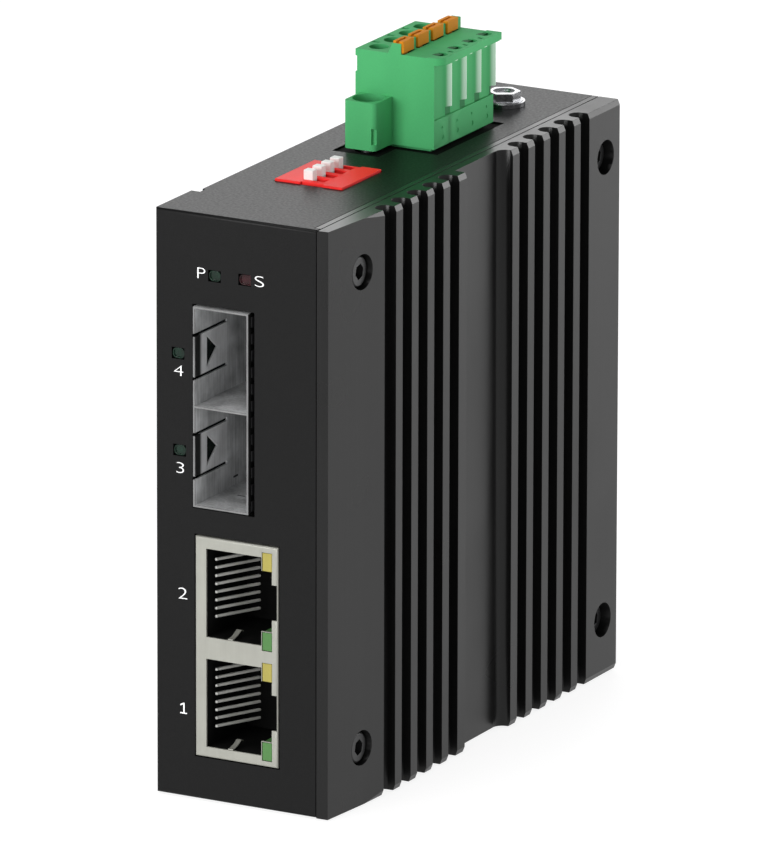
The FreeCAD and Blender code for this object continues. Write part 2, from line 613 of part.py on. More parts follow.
def land_bevel(z, sign):
    """Cutter that lets the tip bevel fade out along the second slanted facet."""
    front = V(SINK_KNEE_X, SINK_KNEE_Y, z)
    inner = V(LAND_END_X - TIP_BEVEL_X, LAND_FRONT, z)
    outer = V(LAND_END_X + 0.01, LAND_FRONT, z)
    low = V(LAND_END_X + 0.01, LAND_FRONT, z + sign * TIP_BEVEL_Z)
    sides = [(front, inner, outer), (front, outer, low), (front, low, inner), (inner, low, outer)]
    return Part.Solid(Part.Shell([Part.Face(Part.makePolygon(list(side) + [side[0]])) for side in sides]))


def heat_sink_cover():
    """Extruded aluminium side plate with two sets of fins, bevelled tips and sunk screw holes."""
    plate = prism(sink_outline(), V(0, 0, SHELL_HEIGHT))
    cuts = []
    for start in (LAND_FRONT, SECOND_START):
        cuts += [groove(start + i * GROOVE_PITCH) for i in range(GROOVES)]
    cuts.append(middle_flat())
    for z, sign in ((0, 1), (SHELL_HEIGHT, -1)):
        cuts.append(prism([V(SINK_TIP_X - TIP_BEVEL_X, SINK_KNEE_Y, z), V(SINK_TIP_X + 1, SINK_KNEE_Y, z),
                           V(SINK_TIP_X + 1, SINK_KNEE_Y, z + sign * TIP_BEVEL_Z),
                           V(SINK_TIP_X, SINK_KNEE_Y, z + sign * TIP_BEVEL_Z)], V(0, SHELL_DEPTH, 0)))
        cuts.append(land_bevel(z, sign))
    cuts.append(block(SCRIBE_X - SCRIBE_WIDTH / 2, SCRIBE_X + SCRIBE_WIDTH / 2, -1, SHELL_DEPTH + 1,
                      SHELL_HEIGHT - SCRIBE_DEPTH, SHELL_HEIGHT + 1))
    for y, z in CORNERS:
        cuts.append(rod(COUNTERBORE_RADIUS, 10, V(HEAD_SEAT_X, y, z), V(1, 0, 0)))
        cuts.append(rod(SCREW_SHANK_RADIUS + HOLE_CLEARANCE, 10, V(SINK_INNER_X - 1, y, z), V(1, 0, 0)))
    return plate.cut(cuts).removeSplitter()


# ---------------------------------------------------------------- screws and posts
def side_screws():
    """Four socket-head screws that hold the finned plate."""
    screws = []
    for y, z in CORNERS:
        head = rod(SCREW_HEAD_RADIUS, SCREW_HEAD_HEIGHT, V(HEAD_SEAT_X, y, z), V(1, 0, 0))
        head = head.makeChamfer(HEAD_CHAMFER, edges_where(head, lambda b: b.XMin > SCREW_HEAD_TOP_X - 1e-3))
        shank = rod(SCREW_SHANK_RADIUS, SCREW_REACH, V(HEAD_SEAT_X - SCREW_REACH, y, z), V(1, 0, 0))
        socket = hex_bar(SCREW_SOCKET_FLATS, SCREW_SOCKET_DEPTH + 1,
                         V(SCREW_HEAD_TOP_X - SCREW_SOCKET_DEPTH, y, z), V(1, 0, 0), 15)
        screws.append(head.fuse(shank).cut(socket))
    return group(screws)


def corner_posts():
    """Threaded posts: long ones across the rear corners, short ones behind the front return."""
    posts = []
    start = COVER_INNER_X + SEAM
    for z in CORNER_ZS:
        y = SCREW_REAR_Y
        shoulder = rod(POST_SHOULDER_RADIUS, BOARD_X - start, V(start, y, z), V(1, 0, 0))
        body = rod(POST_RADIUS, SINK_INNER_X - BOARD_X, V(BOARD_X, y, z), V(1, 0, 0))
        right = rod(SCREW_SHANK_RADIUS, 12, V(HEAD_SEAT_X - SCREW_REACH, y, z), V(1, 0, 0))
        left = rod(SCREW_SHANK_RADIUS, FLAT_SCREW_REACH, V(COVER_X + SEAM, y, z), V(1, 0, 0))
        posts.append(shoulder.fuse(body).cut([right, left]))
        short = rod(POST_SHOULDER_RADIUS, BOARD_X - start, V(start, RETURN_SCREW_Y, z), V(1, 0, 0))
        posts.append(short.cut(rod(SCREW_SHANK_RADIUS, BOARD_X, V(0, RETURN_SCREW_Y, z), V(1, 0, 0))))
    return group(posts)


def cover_screws():
    """Countersunk screws on the left, through the front return and the left cover."""
    screws = []
    for x, y in ((0, RETURN_SCREW_Y), (COVER_X + SEAM, SCREW_REAR_Y)):
        for z in CORNER_ZS:
            head = Part.makeCone(FLAT_HEAD_RADIUS, SCREW_SHANK_RADIUS, SHEET, V(x, y, z), V(1, 0, 0))
            shank = rod(SCREW_SHANK_RADIUS, FLAT_SCREW_REACH - SHEET, V(x + SHEET, y, z), V(1, 0, 0))
            socket = hex_bar(SCREW_SOCKET_FLATS * 0.75, SHEET, V(x - 0.2, y, z), V(1, 0, 0))
            screws.append(head.fuse(shank).cut(socket))
    return group(screws)


def board_spacers():
    """Hexagonal spacers that carry the board."""
    x0 = COVER_INNER_X + SEAM
    length = BOARD_X - x0
    spacers = []
    for y, z in SPACER_PLACES:
        bar = hex_bar(SPACER_FLATS, length, V(x0, y, z), V(1, 0, 0))
        spacers.append(bar.cut(rod(BOARD_SCREW_RADIUS, length, V(x0, y, z), V(1, 0, 0))))
    return group(spacers)


def board_screws():
    """Pan-head screws through the board into the spacers."""
    screws = []
    for y, z in SPACER_PLACES:
        head = rod(BOARD_SCREW_HEAD, BOARD_SCREW_HEAD_HEIGHT, V(BOARD_FACE_X, y, z), V(1, 0, 0))
        head = head.makeFillet(BOARD_SCREW_HEAD_HEIGHT * 0.4, edges_where(
            head, lambda b: b.XMin > BOARD_FACE_X + BOARD_SCREW_HEAD_HEIGHT - 1e-3))
        shank = rod(BOARD_SCREW_RADIUS, BOARD_THICKNESS + BOARD_SCREW_REACH,
                    V(BOARD_X - BOARD_SCREW_REACH, y, z), V(1, 0, 0))
        screws.append(head.fuse(shank))
    return group(screws)


def circuit_board():
    """Main board, upright, with clearance holes for the posts and screws."""
    board = block(BOARD_X, BOARD_FACE_X, BOARD_FRONT_Y, BOARD_REAR_Y, BOARD_BOTTOM_Z, BOARD_TOP_Z)
    start = BOARD_X - 1
    length = BOARD_THICKNESS + 2
    radius = POST_RADIUS + HOLE_CLEARANCE
    holes = [rod(radius, length, V(start, SCREW_REAR_Y, z), V(1, 0, 0)) for z in CORNER_ZS]
    holes += [rod(BOARD_SCREW_RADIUS, length, V(start, y, z), V(1, 0, 0)) for y, z in SPACER_PLACES]
    half = PIN_SIZE / 2 + PIN_HOLE_ROOM
    holes += [block(start, start + length, y - half, y + half, PIN_FOOT_Z - half, PIN_FOOT_Z + half)
              for y in POLE_Y]
    return board.cut(holes)


# ---------------------------------------------------------------- optic cage
def bay_heights():
    """Lower and upper inside heights of the cage's two bays."""
    middle = CAGE_BOTTOM_Z + CAGE_HEIGHT / 2
    return ((CAGE_BOTTOM_Z + CAGE_WALL, middle - CAGE_WALL / 2),
            (middle + CAGE_WALL / 2, CAGE_TOP_Z - CAGE_WALL))


def sfp_cage():
    """Double cage folded from thin sheet, open at the front, with latch holes and slots."""
    x0, x1 = CAGE_X, CAGE_X + CAGE_WIDTH
    cage = block(x0, x1, CAGE_FRONT_Y, CAGE_FRONT_Y + CAGE_DEPTH, CAGE_BOTTOM_Z, CAGE_TOP_Z)
    y = LATCH_HOLE_Y
    cuts = []
    for z0, z1 in bay_heights():
        cuts.append(block(x0 + CAGE_WALL, x1 - CAGE_WALL, CAGE_FRONT_Y - 1,
                          CAGE_FRONT_Y + CAGE_DEPTH - CAGE_WALL, z0, z1))
        middle = (z0 + z1) / 2
        for z in (middle - CAGE_TONGUE / 2, middle + CAGE_TONGUE / 2):
            cuts.append(block(x0 - 1, x0 + CAGE_WALL + 0.1,
                              CAGE_FRONT_Y - 1, CAGE_FRONT_Y + CAGE_SLOT_LENGTH,
                              z - CAGE_SLOT_WIDTH / 2, z + CAGE_SLOT_WIDTH / 2))
        cuts.append(prism([V(x0 - 1, y + LATCH_HOLE_LENGTH, middle),
                           V(x0 - 1, y, middle - LATCH_HOLE_WIDTH / 2),
                           V(x0 - 1, y, middle + LATCH_HOLE_WIDTH / 2)],
                          V(1 + CAGE_WALL + 0.1, 0, 0)))
    return cage.cut(cuts)


def sfp_connectors():
    """Two edge connectors at the rear of the bays."""
    connectors = []
    width, length, height = EDGE_SOCKET
    slot, depth, slot_height = EDGE_MOUTH
    x = CAGE_X + CAGE_WALL + EDGE_SOCKET_ROOM
    y1 = CAGE_FRONT_Y + CAGE_DEPTH - CAGE_WALL - EDGE_SOCKET_ROOM
    y0 = y1 - length
    for z0, z1 in bay_heights():
        middle = (z0 + z1) / 2
        body = block(x, x + width, y0, y1, middle - height / 2, middle + height / 2)
        mouth = block(x + EDGE_MOUTH_INSET, x + EDGE_MOUTH_INSET + slot, y0 - 1, y0 + depth,
                      middle - slot_height / 2, middle + slot_height / 2)
        connectors.append(body.cut(mouth))
    return group(connectors)


def sfp_spring_fingers():
    """Row of earthing fingers beside the cage in the panel's cut-out."""
    x0 = CAGE_X + CAGE_WIDTH + 0.02
    z0 = CAGE_BOTTOM_Z
    pitch = CAGE_HEIGHT / FINGERS
    strip = block(x0, x0 + FINGER_THICK, SHEET + 0.3, SHEET + 3.0, z0, z0 + CAGE_HEIGHT)
    fingers = []
    for i in range(FINGERS):
        base = z0 + (i + (1 - FINGER_SHARE) / 2) * pitch
        bulge = x0 + FINGER_BULGE
        tip = bulge - FINGER_THICK * 0.6
        outline = [V(x0, SHEET + 0.4, base), V(bulge, 0.55, base), V(tip, 0.1, base),
                   V(tip - FINGER_THICK, 0.2, base), V(bulge - FINGER_THICK, 0.55, base),
                   V(x0, SHEET + 0.1, base)]
        fingers.append(prism(outline, V(0, 0, pitch * FINGER_SHARE)))
    return fuse([strip] + fingers)


# ---------------------------------------------------------------- network jack
def port_shape(floor_z, y0, y1, room=0.0):
    """A jack bay: the plug's box, the step between the lamps and the latch slot."""
    x = PORT_X + PORT_WIDTH
    main = block(PORT_X - room, x + room, y0, y1, floor_z - room, floor_z + PORT_HEIGHT + room)
    step = block(x - 0.1, x + COLUMN_WIDTH + room, y0, y1,
                 floor_z + COLUMN_BOTTOM - room, floor_z + COLUMN_BOTTOM + COLUMN_HEIGHT + room)
    key = block(x + COLUMN_WIDTH - 0.1, x + COLUMN_WIDTH + KEY_WIDTH + room, y0, y1,
                floor_z + KEY_BOTTOM - room, floor_z + KEY_BOTTOM + KEY_HEIGHT + room)
    return main.fuse([step, key])


def lamp_box(floor_z, offset, room=0.0):
    """Place of one jack lamp."""
    z = floor_z + offset
    return block(LAMP_X - room, LAMP_X + LAMP_WIDTH + room, JACK_FRONT_Y + LAMP_INSET - room,
                 JACK_FRONT_Y + LAMP_LENGTH, z - room, z + LAMP_HEIGHT + room)


def jack_shield():
    """Folded shield with two bays, four lamp windows and small spring tabs."""
    x0, x1 = JACK_X, JACK_X + JACK_WIDTH
    y0, y1 = JACK_FRONT_Y, JACK_FRONT_Y + JACK_DEPTH
    z0, z1 = JACK_BOTTOM_Z, JACK_TOP_Z
    shield = block(x0, x1, y0, y1, z0, z1)
    shield = shield.makeFillet(0.3, edges_where(shield, lambda b: b.YMax < y0 + 1e-6))
    cuts = [block(x0 + JACK_WALL, x1 - JACK_WALL, y0 + JACK_WALL, y1 - JACK_WALL,
                  z0 + JACK_WALL, z1 - JACK_WALL),
            block(x0 - 1, x0 + JACK_WALL + 0.1, y0 + 3, y1 + 1, z0 + JACK_WALL, z1 - JACK_WALL)]
    for floor_z in PORT_FLOORS:
        cuts.append(port_shape(floor_z, y0 - 1, y0 + JACK_WALL + 0.1))
        for offset in (GREEN_LAMP_Z, YELLOW_LAMP_Z):
            cuts.append(lamp_box(floor_z, offset, LAMP_CLEAR))
    return shield.cut(cuts)


def jack_body():
    """Moulded insert of the jack, with two bays."""
    gap = 0.05
    x0, x1 = JACK_X + JACK_WALL + gap, JACK_X + JACK_WIDTH - JACK_WALL - gap
    y0, y1 = JACK_FRONT_Y + JACK_WALL + gap, JACK_FRONT_Y + JACK_DEPTH - JACK_WALL - gap
    z0, z1 = JACK_BOTTOM_Z + JACK_WALL + gap, JACK_TOP_Z - JACK_WALL - gap
    body = block(x0, x1, y0, y1, z0, z1)
    cuts = []
    for floor_z in PORT_FLOORS:
        cuts.append(port_shape(floor_z, y0 - 1, y0 + PORT_DEPTH, 0.1))
        for offset in (GREEN_LAMP_Z, YELLOW_LAMP_Z):
            cuts.append(lamp_box(floor_z, offset, LAMP_CLEAR))
    return body.cut(cuts)


def jack_contacts():
    """Spring wires of both bays, slanting back from the board's side."""
    wires = []
    half = WIRE_SIZE / 2
    tip = (PORT_X + WIRE_TIP[0], WIRE_TIP[1])
    bend = (tip[0] + WIRE_RUN[0], tip[1] + WIRE_RUN[1])
    path = [tip, bend, (bend[0] - 0.4, bend[1] + 0.7), (PORT_X + 0.2, bend[1] + 2.2)]
    outline = [V(x - half, y, 0) for x, y in path] + [V(x + half, y, 0) for x, y in reversed(path)]
    for floor_z in PORT_FLOORS:
        for i in range(WIRES):
            z = floor_z + WIRE_FIRST + i * WIRE_PITCH - half
            wires.append(prism([p + V(0, 0, z) for p in outline], V(0, 0, WIRE_SIZE)))
    return group(wires)


def jack_lamps(offset):
    """One colour of jack lamp, one in each bay."""
    return group([lamp_box(floor_z, offset) for floor_z in PORT_FLOORS])


# ---------------------------------------------------------------- lamps
def board_pipe(place, arm_y):
    """Clear pipe from the panel back and across to a lamp on the board."""
    x, z = place
    stem = block(x, x + PIPE_WIDTH, PIPE_RECESS, arm_y + PIPE_ARM, z, z + PIPE_HEIGHT)
    arm = block(BOARD_FACE_X + SMALL_LAMP[0] + 0.1, x + PIPE_WIDTH,
                arm_y, arm_y + PIPE_ARM, z, z + PIPE_HEIGHT)
    return fuse([stem, arm])


def edge_pipe(place):
    """Clear pipe from the panel to a lamp on the board's solder side."""
    x, z = place
    head = block(x, x + PIPE_WIDTH, PIPE_RECESS, BOARD_FRONT_Y - 0.1, z, z + PIPE_HEIGHT)
    stem = block(x, BOARD_X - 0.15, PIPE_RECESS, EDGE_PIPE_END, z, z + PIPE_HEIGHT)
    return fuse([head, stem])


def indicator_lamps():
    """Small lamps on both sides of the board, behind the light pipes."""
    lamps = []
    thick, length, height = SMALL_LAMP
    for place, arm_y in ((POWER_PIPE, POWER_ARM_Y), (STATUS_PIPE, STATUS_ARM_Y)):
        z, y = place[1] + 0.1, arm_y + 0.1
        lamps.append(block(BOARD_FACE_X, BOARD_FACE_X + thick, y, y + length, z, z + height))
    for place in (PORT_4_PIPE, PORT_3_PIPE):
        z, y = place[1] + 0.1, EDGE_PIPE_END + 0.1
        lamps.append(block(BOARD_X - thick, BOARD_X, y, y + length, z, z + height))
    return group(lamps)


# ---------------------------------------------------------------- slide switches
def knob_slot(y, room_x, room_y, z0, z1):
    """Space swept by a slider's knob with some room round it."""
    return block(KNOB_X - room_x, KNOB_X + KNOB_WIDTH + KNOB_TRAVEL + room_x,
                 y - KNOB_THICK / 2 - room_y, y + KNOB_THICK / 2 + room_y, z0, z1)


def switch_base():
    """Moulded base of the slide switches, with a channel under each knob."""
    z1 = SWITCH_TOP_Z - SWITCH_COVER
    base = block(SWITCH_X, SWITCH_X + SWITCH_WIDTH, SWITCH_Y, SWITCH_Y + SWITCH_LENGTH,
                 SWITCH_TOP_Z - SWITCH_DEPTH, z1)
    floor_z = FOOT_TOP_Z - FOOT_HEIGHT - KNOB_CLEAR
    room = FOOT_EXTRA + KNOB_CLEAR
    return base.cut([knob_slot(y, room, room, floor_z, z1 + 1) for y in SLIDER_YS])


def switch_cover():
    """Cover plate of the switches, with a slot for each knob and a stepped front edge."""
    z0, z1 = SWITCH_TOP_Z - SWITCH_COVER, SWITCH_TOP_Z
    cover = block(SWITCH_X, SWITCH_X + SWITCH_WIDTH, SWITCH_Y, SWITCH_Y + SWITCH_LENGTH, z0, z1)
    cuts = [knob_slot(y, KNOB_CLEAR, KNOB_CLEAR, z0 - 1, z1 + 1) for y in SLIDER_YS]
    for y in (SWITCH_Y, SWITCH_Y + SWITCH_LENGTH):
        cuts.append(block(COVER_NOTCH_X, COVER_NOTCH_X + COVER_NOTCH_WIDTH,
                          y - COVER_NOTCH_DEPTH, y + COVER_NOTCH_DEPTH, z0 - 1, z1 + 1))
    return cover.cut(cuts)


def switch_slider(index):
    """One slider: a knob on a wider foot that the cover keeps in."""
    y = SLIDER_YS[index]
    top = FOOT_TOP_Z
    knob = block(KNOB_X, KNOB_X + KNOB_WIDTH, y - KNOB_THICK / 2, y + KNOB_THICK / 2,
                 top - 0.1, SWITCH_TOP_Z + KNOB_HEIGHT)
    knob = knob.makeFillet(KNOB_ROUND, edges_where(
        knob, lambda b: b.ZMin > SWITCH_TOP_Z + KNOB_HEIGHT - 1e-3))
    foot = block(KNOB_X - FOOT_EXTRA, KNOB_X + KNOB_WIDTH + FOOT_EXTRA,
                 y - KNOB_THICK / 2 - FOOT_EXTRA, y + KNOB_THICK / 2 + FOOT_EXTRA, top - FOOT_HEIGHT, top)
    return fuse([knob, foot])


# ---------------------------------------------------------------- terminal block
def tongue(room):
    """Lower part of the plug that goes into the header."""
    return block(PLUG_X + TONGUE_INSET - room, PLUG_RIGHT_X - TONGUE_INSET + room,
                 PLUG_Y + TONGUE_INSET - room, PLUG_REAR_Y - TONGUE_INSET + room,
                 PLUG_BOTTOM_Z - TONGUE_DEPTH - room, PLUG_BOTTOM_Z + 0.5)


def terminal_header():
    """Shrouded header under the top sheet; its rim shows round the plug."""
    z0 = HEADER_TOP_Z - HEADER_DEPTH
    header = header_prism(HEADER_RIM, z0, HEADER_TOP_Z)
    cuts = [tongue(TONGUE_CLEAR)]
    for y in POLE_Y:
        cuts.append(block(PIN_X - PIN_SIZE / 2, PIN_X + PIN_SIZE / 2, y - PIN_SIZE / 2, y + PIN_SIZE / 2,
                          z0 - 1, HEADER_TOP_Z))
    for y in EAR_MIDDLES:
        cuts.append(rod(FLANGE_SCREW_RADIUS + INSERT_WALL, INSERT_DEPTH + 0.1,
                        V(EAR_X + EAR_WIDTH / 2, y, HEADER_TOP_Z - INSERT_DEPTH), V(0, 0, 1)))
    return header.cut(cuts)


def header_pins():
    """Four square pins, bent to pass through the board."""
    pins = []
    half = PIN_SIZE / 2
    low, high = PIN_FOOT_Z - half, PIN_FOOT_Z + half
    for y in POLE_Y:
        upright = block(PIN_X - half, PIN_X + half, y - half, y + half, low, PLUG_BOTTOM_Z - PIN_TOP_DROP)
        run = block(BOARD_X - PIN_TAIL, PIN_X + half, y - half, y + half, low, high)
        pins.append(fuse([upright, run]))
    return group(pins)


def flange_nuts():
    """Threaded inserts in the header's ears."""
    nuts = []
    for y in EAR_MIDDLES:
        place = V(EAR_X + EAR_WIDTH / 2, y, HEADER_TOP_Z - INSERT_DEPTH)
        nuts.append(rod(FLANGE_SCREW_RADIUS + INSERT_WALL, INSERT_LENGTH, place, V(0, 0, 1))
                    .cut(rod(FLANGE_SCREW_RADIUS + INSERT_THREAD, INSERT_DEPTH, place, V(0, 0, 1))))
    return group(nuts)


def lever_y(index):
    """Middle of one release lever."""
    return POLE_Y[index] + LEVER_OFFSET


def lever_pocket(index):
    """Pocket in the plug's rib for a lever and its travel."""
    y = lever_y(index)
    half = LEVER_THICK / 2 + LEVER_CLEAR
    low = LEVER_BOTTOM_Z - LEVER_TRAVEL - LEVER_CLEAR
    top = block(LEVER_X - LEVER_CLEAR, LEVER_X + LEVER_WIDTH + LEVER_CLEAR, y - half, y + half,
                low, LEVER_TOP_Z + 1)
    room = LEVER_STEM / 2 + LEVER_CLEAR
    stem = block(LEVER_X - LEVER_CLEAR, LEVER_X + LEVER_STEM + LEVER_CLEAR, y - room, y + room,
                 low - LEVER_STEM_LENGTH, low + 1)
    return top.fuse(stem)


def ear(y0):
    """Screw ear of the plug, with rounded upright corners and a notch low on one of them."""
    x0, x1 = EAR_X, EAR_X + EAR_WIDTH
    y1 = y0 + EAR_DEPTH
    outer_y = y0 if y0 < PLUG_Y else y1
    body = block(x0, x1, y0, y1, PLUG_BOTTOM_Z, EAR_TOP_Z)
    body = body.makeFillet(EAR_ROUND, edges_where(
        body, lambda b: b.ZLength > 1 and abs(b.YMin - outer_y) < 1e-3))
    notch_z = SHELL_HEIGHT + EAR_NOTCH_RISE
    return body.cut(block(x1 - EAR_NOTCH_WIDTH, x1 + 1, outer_y - EAR_NOTCH_DEPTH,
                          outer_y + EAR_NOTCH_DEPTH, notch_z, notch_z + EAR_NOTCH_HEIGHT))


def bay_comb():
    """Right side of the plug in plan: hollow bays that curve out to a ridge at their rear ends."""
    edges = []
    inner = BAY_X - 1.0
    first = V(inner, PLUG_Y, 0)
    here = V(PLUG_RIGHT_X, PLUG_Y, 0)
    edges.append(Part.LineSegment(first, here))
    for y in BAY_YS:
        wall = V(here.x, y, 0)
        floor = V(BAY_X, y, 0)
        turn = V(BAY_X + BAY_SLOPE, y + BAY_STRAIGHT, 0)
        tip = V(RIDGE_X, y + POLE_PITCH - RIDGE_FLAT, 0)
        bulge = V(turn.x + (tip.x - turn.x) * 0.36, turn.y + (tip.y - turn.y) * 0.6, 0)
        if (wall - here).Length > 1e-6:
            edges.append(Part.LineSegment(here, wall))
        edges.append(Part.LineSegment(wall, floor))
        edges.append(Part.LineSegment(floor, turn))
        edges.append(Part.Arc(turn, bulge, tip))
        here = V(RIDGE_X, y + POLE_PITCH, 0)
        edges.append(Part.LineSegment(tip, here))
    last = V(inner, PLUG_REAR_Y, 0)
    edges.append(Part.LineSegment(here, last))
    edges.append(Part.LineSegment(last, first))
    outline = Part.Wire([edge.toShape() for edge in edges])
    comb = Part.Face(outline).extrude(V(0, 0, STRIP_UNDER_Z + 0.2 - BAND_Z + 0.2))
    comb.translate(V(0, 0, BAND_Z - 0.2))
    notches = [block(BAY_X, RIDGE_X + 1, y + NOTCH_START, y + POLE_PITCH + 0.01,
                     BAND_Z, BAND_Z + NOTCH_HEIGHT) for y in BAY_YS]
    skirt = block(PLUG_RIGHT_X, RIDGE_X + 1, PLUG_Y, PLUG_REAR_Y + 1, BAND_Z - 1, BAND_Z)
    return comb.cut(notches + [skirt])


def top_strip():
    """Overhanging strip along the top of the bays, rounded at its front corner."""
    strip = block(STRIP_X, STRIP_EDGE_X, PLUG_Y, PLUG_REAR_Y, STRIP_UNDER_Z, DECK_Z + STRIP_RISE)
    strip = strip.makeFillet(STRIP_ROUND, edges_where(
        strip, lambda b: b.ZLength > 0.5 and b.XMin > STRIP_EDGE_X - 1e-3 and b.YMax < PLUG_Y + 1e-3))
    floor_z = DECK_Z + STRIP_RISE - TEST_HOLE_DEPTH
    cuts = []
    for y in POLE_Y:
        cuts.append(rod(TEST_HOLE_RADIUS, 2, V(TEST_HOLE_X, y + WIRE_HOLE_OFFSET, floor_z), V(0, 0, 1)))
    for y in POLE_Y[:-1]:
        start = y + STRIP_SLOT_OFFSET
        cuts.append(block(STRIP_SLOT_X, STRIP_SLOT_X + STRIP_SLOT[0], start, start + STRIP_SLOT[1],
                          floor_z, DECK_Z + 1))
    return strip.cut(cuts)


def pole_slices(body):
    """The plug parted into its one-pole slices; the first and the last keep the screw ears."""
    ends = (PLUG_Y - EAR_DEPTH - 1,) + BAY_YS[1:] + (PLUG_REAR_Y + EAR_DEPTH + 1,)
    low, high = PLUG_BOTTOM_Z - TONGUE_DEPTH - 1, RIB_Z + 1
    return group([body.common(block(PLUG_X - 1, STRIP_EDGE_X + 1, y0, y1, low, high))
                  for y0, y1 in zip(ends, ends[1:])])


def terminal_plug():
    """Push-in plug of one-pole slices with wire entries, test holes, hollow bays and screw ears."""
    core = block(PLUG_X, BAY_X, PLUG_Y, PLUG_REAR_Y, PLUG_BOTTOM_Z, DECK_Z)
    skirt = block(BAY_X - 0.5, PLUG_RIGHT_X, PLUG_Y, PLUG_REAR_Y, PLUG_BOTTOM_Z, BAND_Z)
    rib = prism([V(RIB_X, PLUG_Y, DECK_Z - 0.5), V(RIB_X, PLUG_Y, DECK_Z), V(RIB_TOP_X, PLUG_Y, RIB_Z),
                 V(RIB_RIGHT_X, PLUG_Y, RIB_Z), V(RIB_RIGHT_X, PLUG_Y, DECK_Z - 0.5)],
                V(0, PLUG_LENGTH, 0))
    body = fuse([core, skirt, bay_comb(), rib, tongue(0)] + [ear(y) for y in EAR_YS])
    hole = PIN_SIZE / 2 + PIN_CLEAR + CONTACT_WALL
    cuts = []
    for y in POLE_Y:
        entry = V(WIRE_HOLE_X, y + WIRE_HOLE_OFFSET, DECK_Z - WIRE_HOLE_DEPTH)
        cuts.append(rod(WIRE_HOLE_RADIUS, WIRE_HOLE_DEPTH + 1, entry, V(0, 0, 1)))
        cuts.append(block(PIN_X - hole, PIN_X + hole, y - hole, y + hole,
                          PLUG_BOTTOM_Z - TONGUE_DEPTH - 1, PLUG_BOTTOM_Z + 0.2))
    for y in POLE_Y[:-1]:
        start = y + DECK_SLOT_OFFSET
        cuts.append(block(DECK_SLOT_X, DECK_SLOT_X + DECK_SLOT[0], start, start + DECK_SLOT[1],
                          DECK_Z - DECK_SLOT[2], DECK_Z + 1))
    cuts += [lever_pocket(i) for i in range(POLES)]
    x = EAR_X + EAR_WIDTH / 2
    seat = EAR_TOP_Z - EAR_SEAT_DEPTH
    for y in EAR_MIDDLES:
        cuts.append(rod(EAR_HOLE_RADIUS, EAR_SEAT_DEPTH + 1, V(x, y, seat), V(0, 0, 1)))
        cuts.append(rod(FLANGE_SCREW_RADIUS + HOLE_CLEARANCE, EAR_HEIGHT,
                        V(x, y, PLUG_BOTTOM_Z - 1), V(0, 0, 1)))
    indent_z = DECK_Z - SIDE_INDENT_DROP
    cuts.append(block(PLUG_X - 1, PLUG_X + SIDE_INDENT[0], PLUG_Y - 1, PLUG_REAR_Y + 1,
                      indent_z - SIDE_INDENT[1], indent_z))
    return pole_slices(fuse([body.cut(cuts), top_strip()]))


def plug_contacts():
    """Tubular contacts in the plug, one round each header pin."""
    contacts = []
    inner = PIN_SIZE / 2 + PIN_CLEAR
    outer = inner + CONTACT_WALL - CONTACT_GAP
    z0, z1 = PLUG_BOTTOM_Z - TONGUE_DEPTH + CONTACT_RISE, PLUG_BOTTOM_Z + CONTACT_TOP
    for y in POLE_Y:
        tube = block(PIN_X - outer, PIN_X + outer, y - outer, y + outer, z0, z1)
        room = block(PIN_X - inner, PIN_X + inner, y - inner, y + inner, z0 - 1, z1 - CONTACT_ROOF)
        contacts.append(tube.cut(room))
    return group(contacts)


def release_lever(index):
    """One push lever: a grooved cap with a stem down into the plug."""
    y = lever_y(index)
    half = LEVER_THICK / 2
    cap = block(LEVER_X, LEVER_X + LEVER_WIDTH, y - half, y + half, LEVER_BOTTOM_Z, LEVER_TOP_Z)
    cap = cap.makeFillet(LEVER_ROUND, edges_where(
        cap, lambda b: b.ZMin > LEVER_TOP_Z - 1e-3 and b.YLength > 1))
    start, width, depth = LEVER_GROOVE
    groove_cut = block(LEVER_X + start, LEVER_X + start + width, y - half - 1, y + half - LEVER_GROOVE_END,
                       LEVER_TOP_Z - depth, LEVER_TOP_Z + 1)
    stem = block(LEVER_X, LEVER_X + LEVER_STEM, y - LEVER_STEM / 2, y + LEVER_STEM / 2,
                 LEVER_BOTTOM_Z - LEVER_STEM_LENGTH + LEVER_CLEAR, LEVER_BOTTOM_Z + 0.1)
    return fuse([cap.cut(groove_cut), stem])


def flange_screws():
    """Captive screws in the plug's ears."""
    screws = []
    x = EAR_X + EAR_WIDTH / 2
    seat = EAR_TOP_Z - EAR_SEAT_DEPTH
    end = HEADER_TOP_Z - FLANGE_REACH
    width, depth = FLANGE_SLOT
    for y in EAR_MIDDLES:
        head = rod(FLANGE_SCREW_HEAD, FLANGE_HEAD_HEIGHT, V(x, y, seat), V(0, 0, 1))
        slot = block(x - FLANGE_SCREW_HEAD - 1, x + FLANGE_SCREW_HEAD + 1, y - width / 2, y + width / 2,
                     seat + FLANGE_HEAD_HEIGHT - depth, seat + FLANGE_HEAD_HEIGHT + 1)
        shank = rod(FLANGE_SCREW_RADIUS, seat - end, V(x, y, end), V(0, 0, 1))
        screws.append(head.cut(slot).fuse(shank))
    return group(screws)


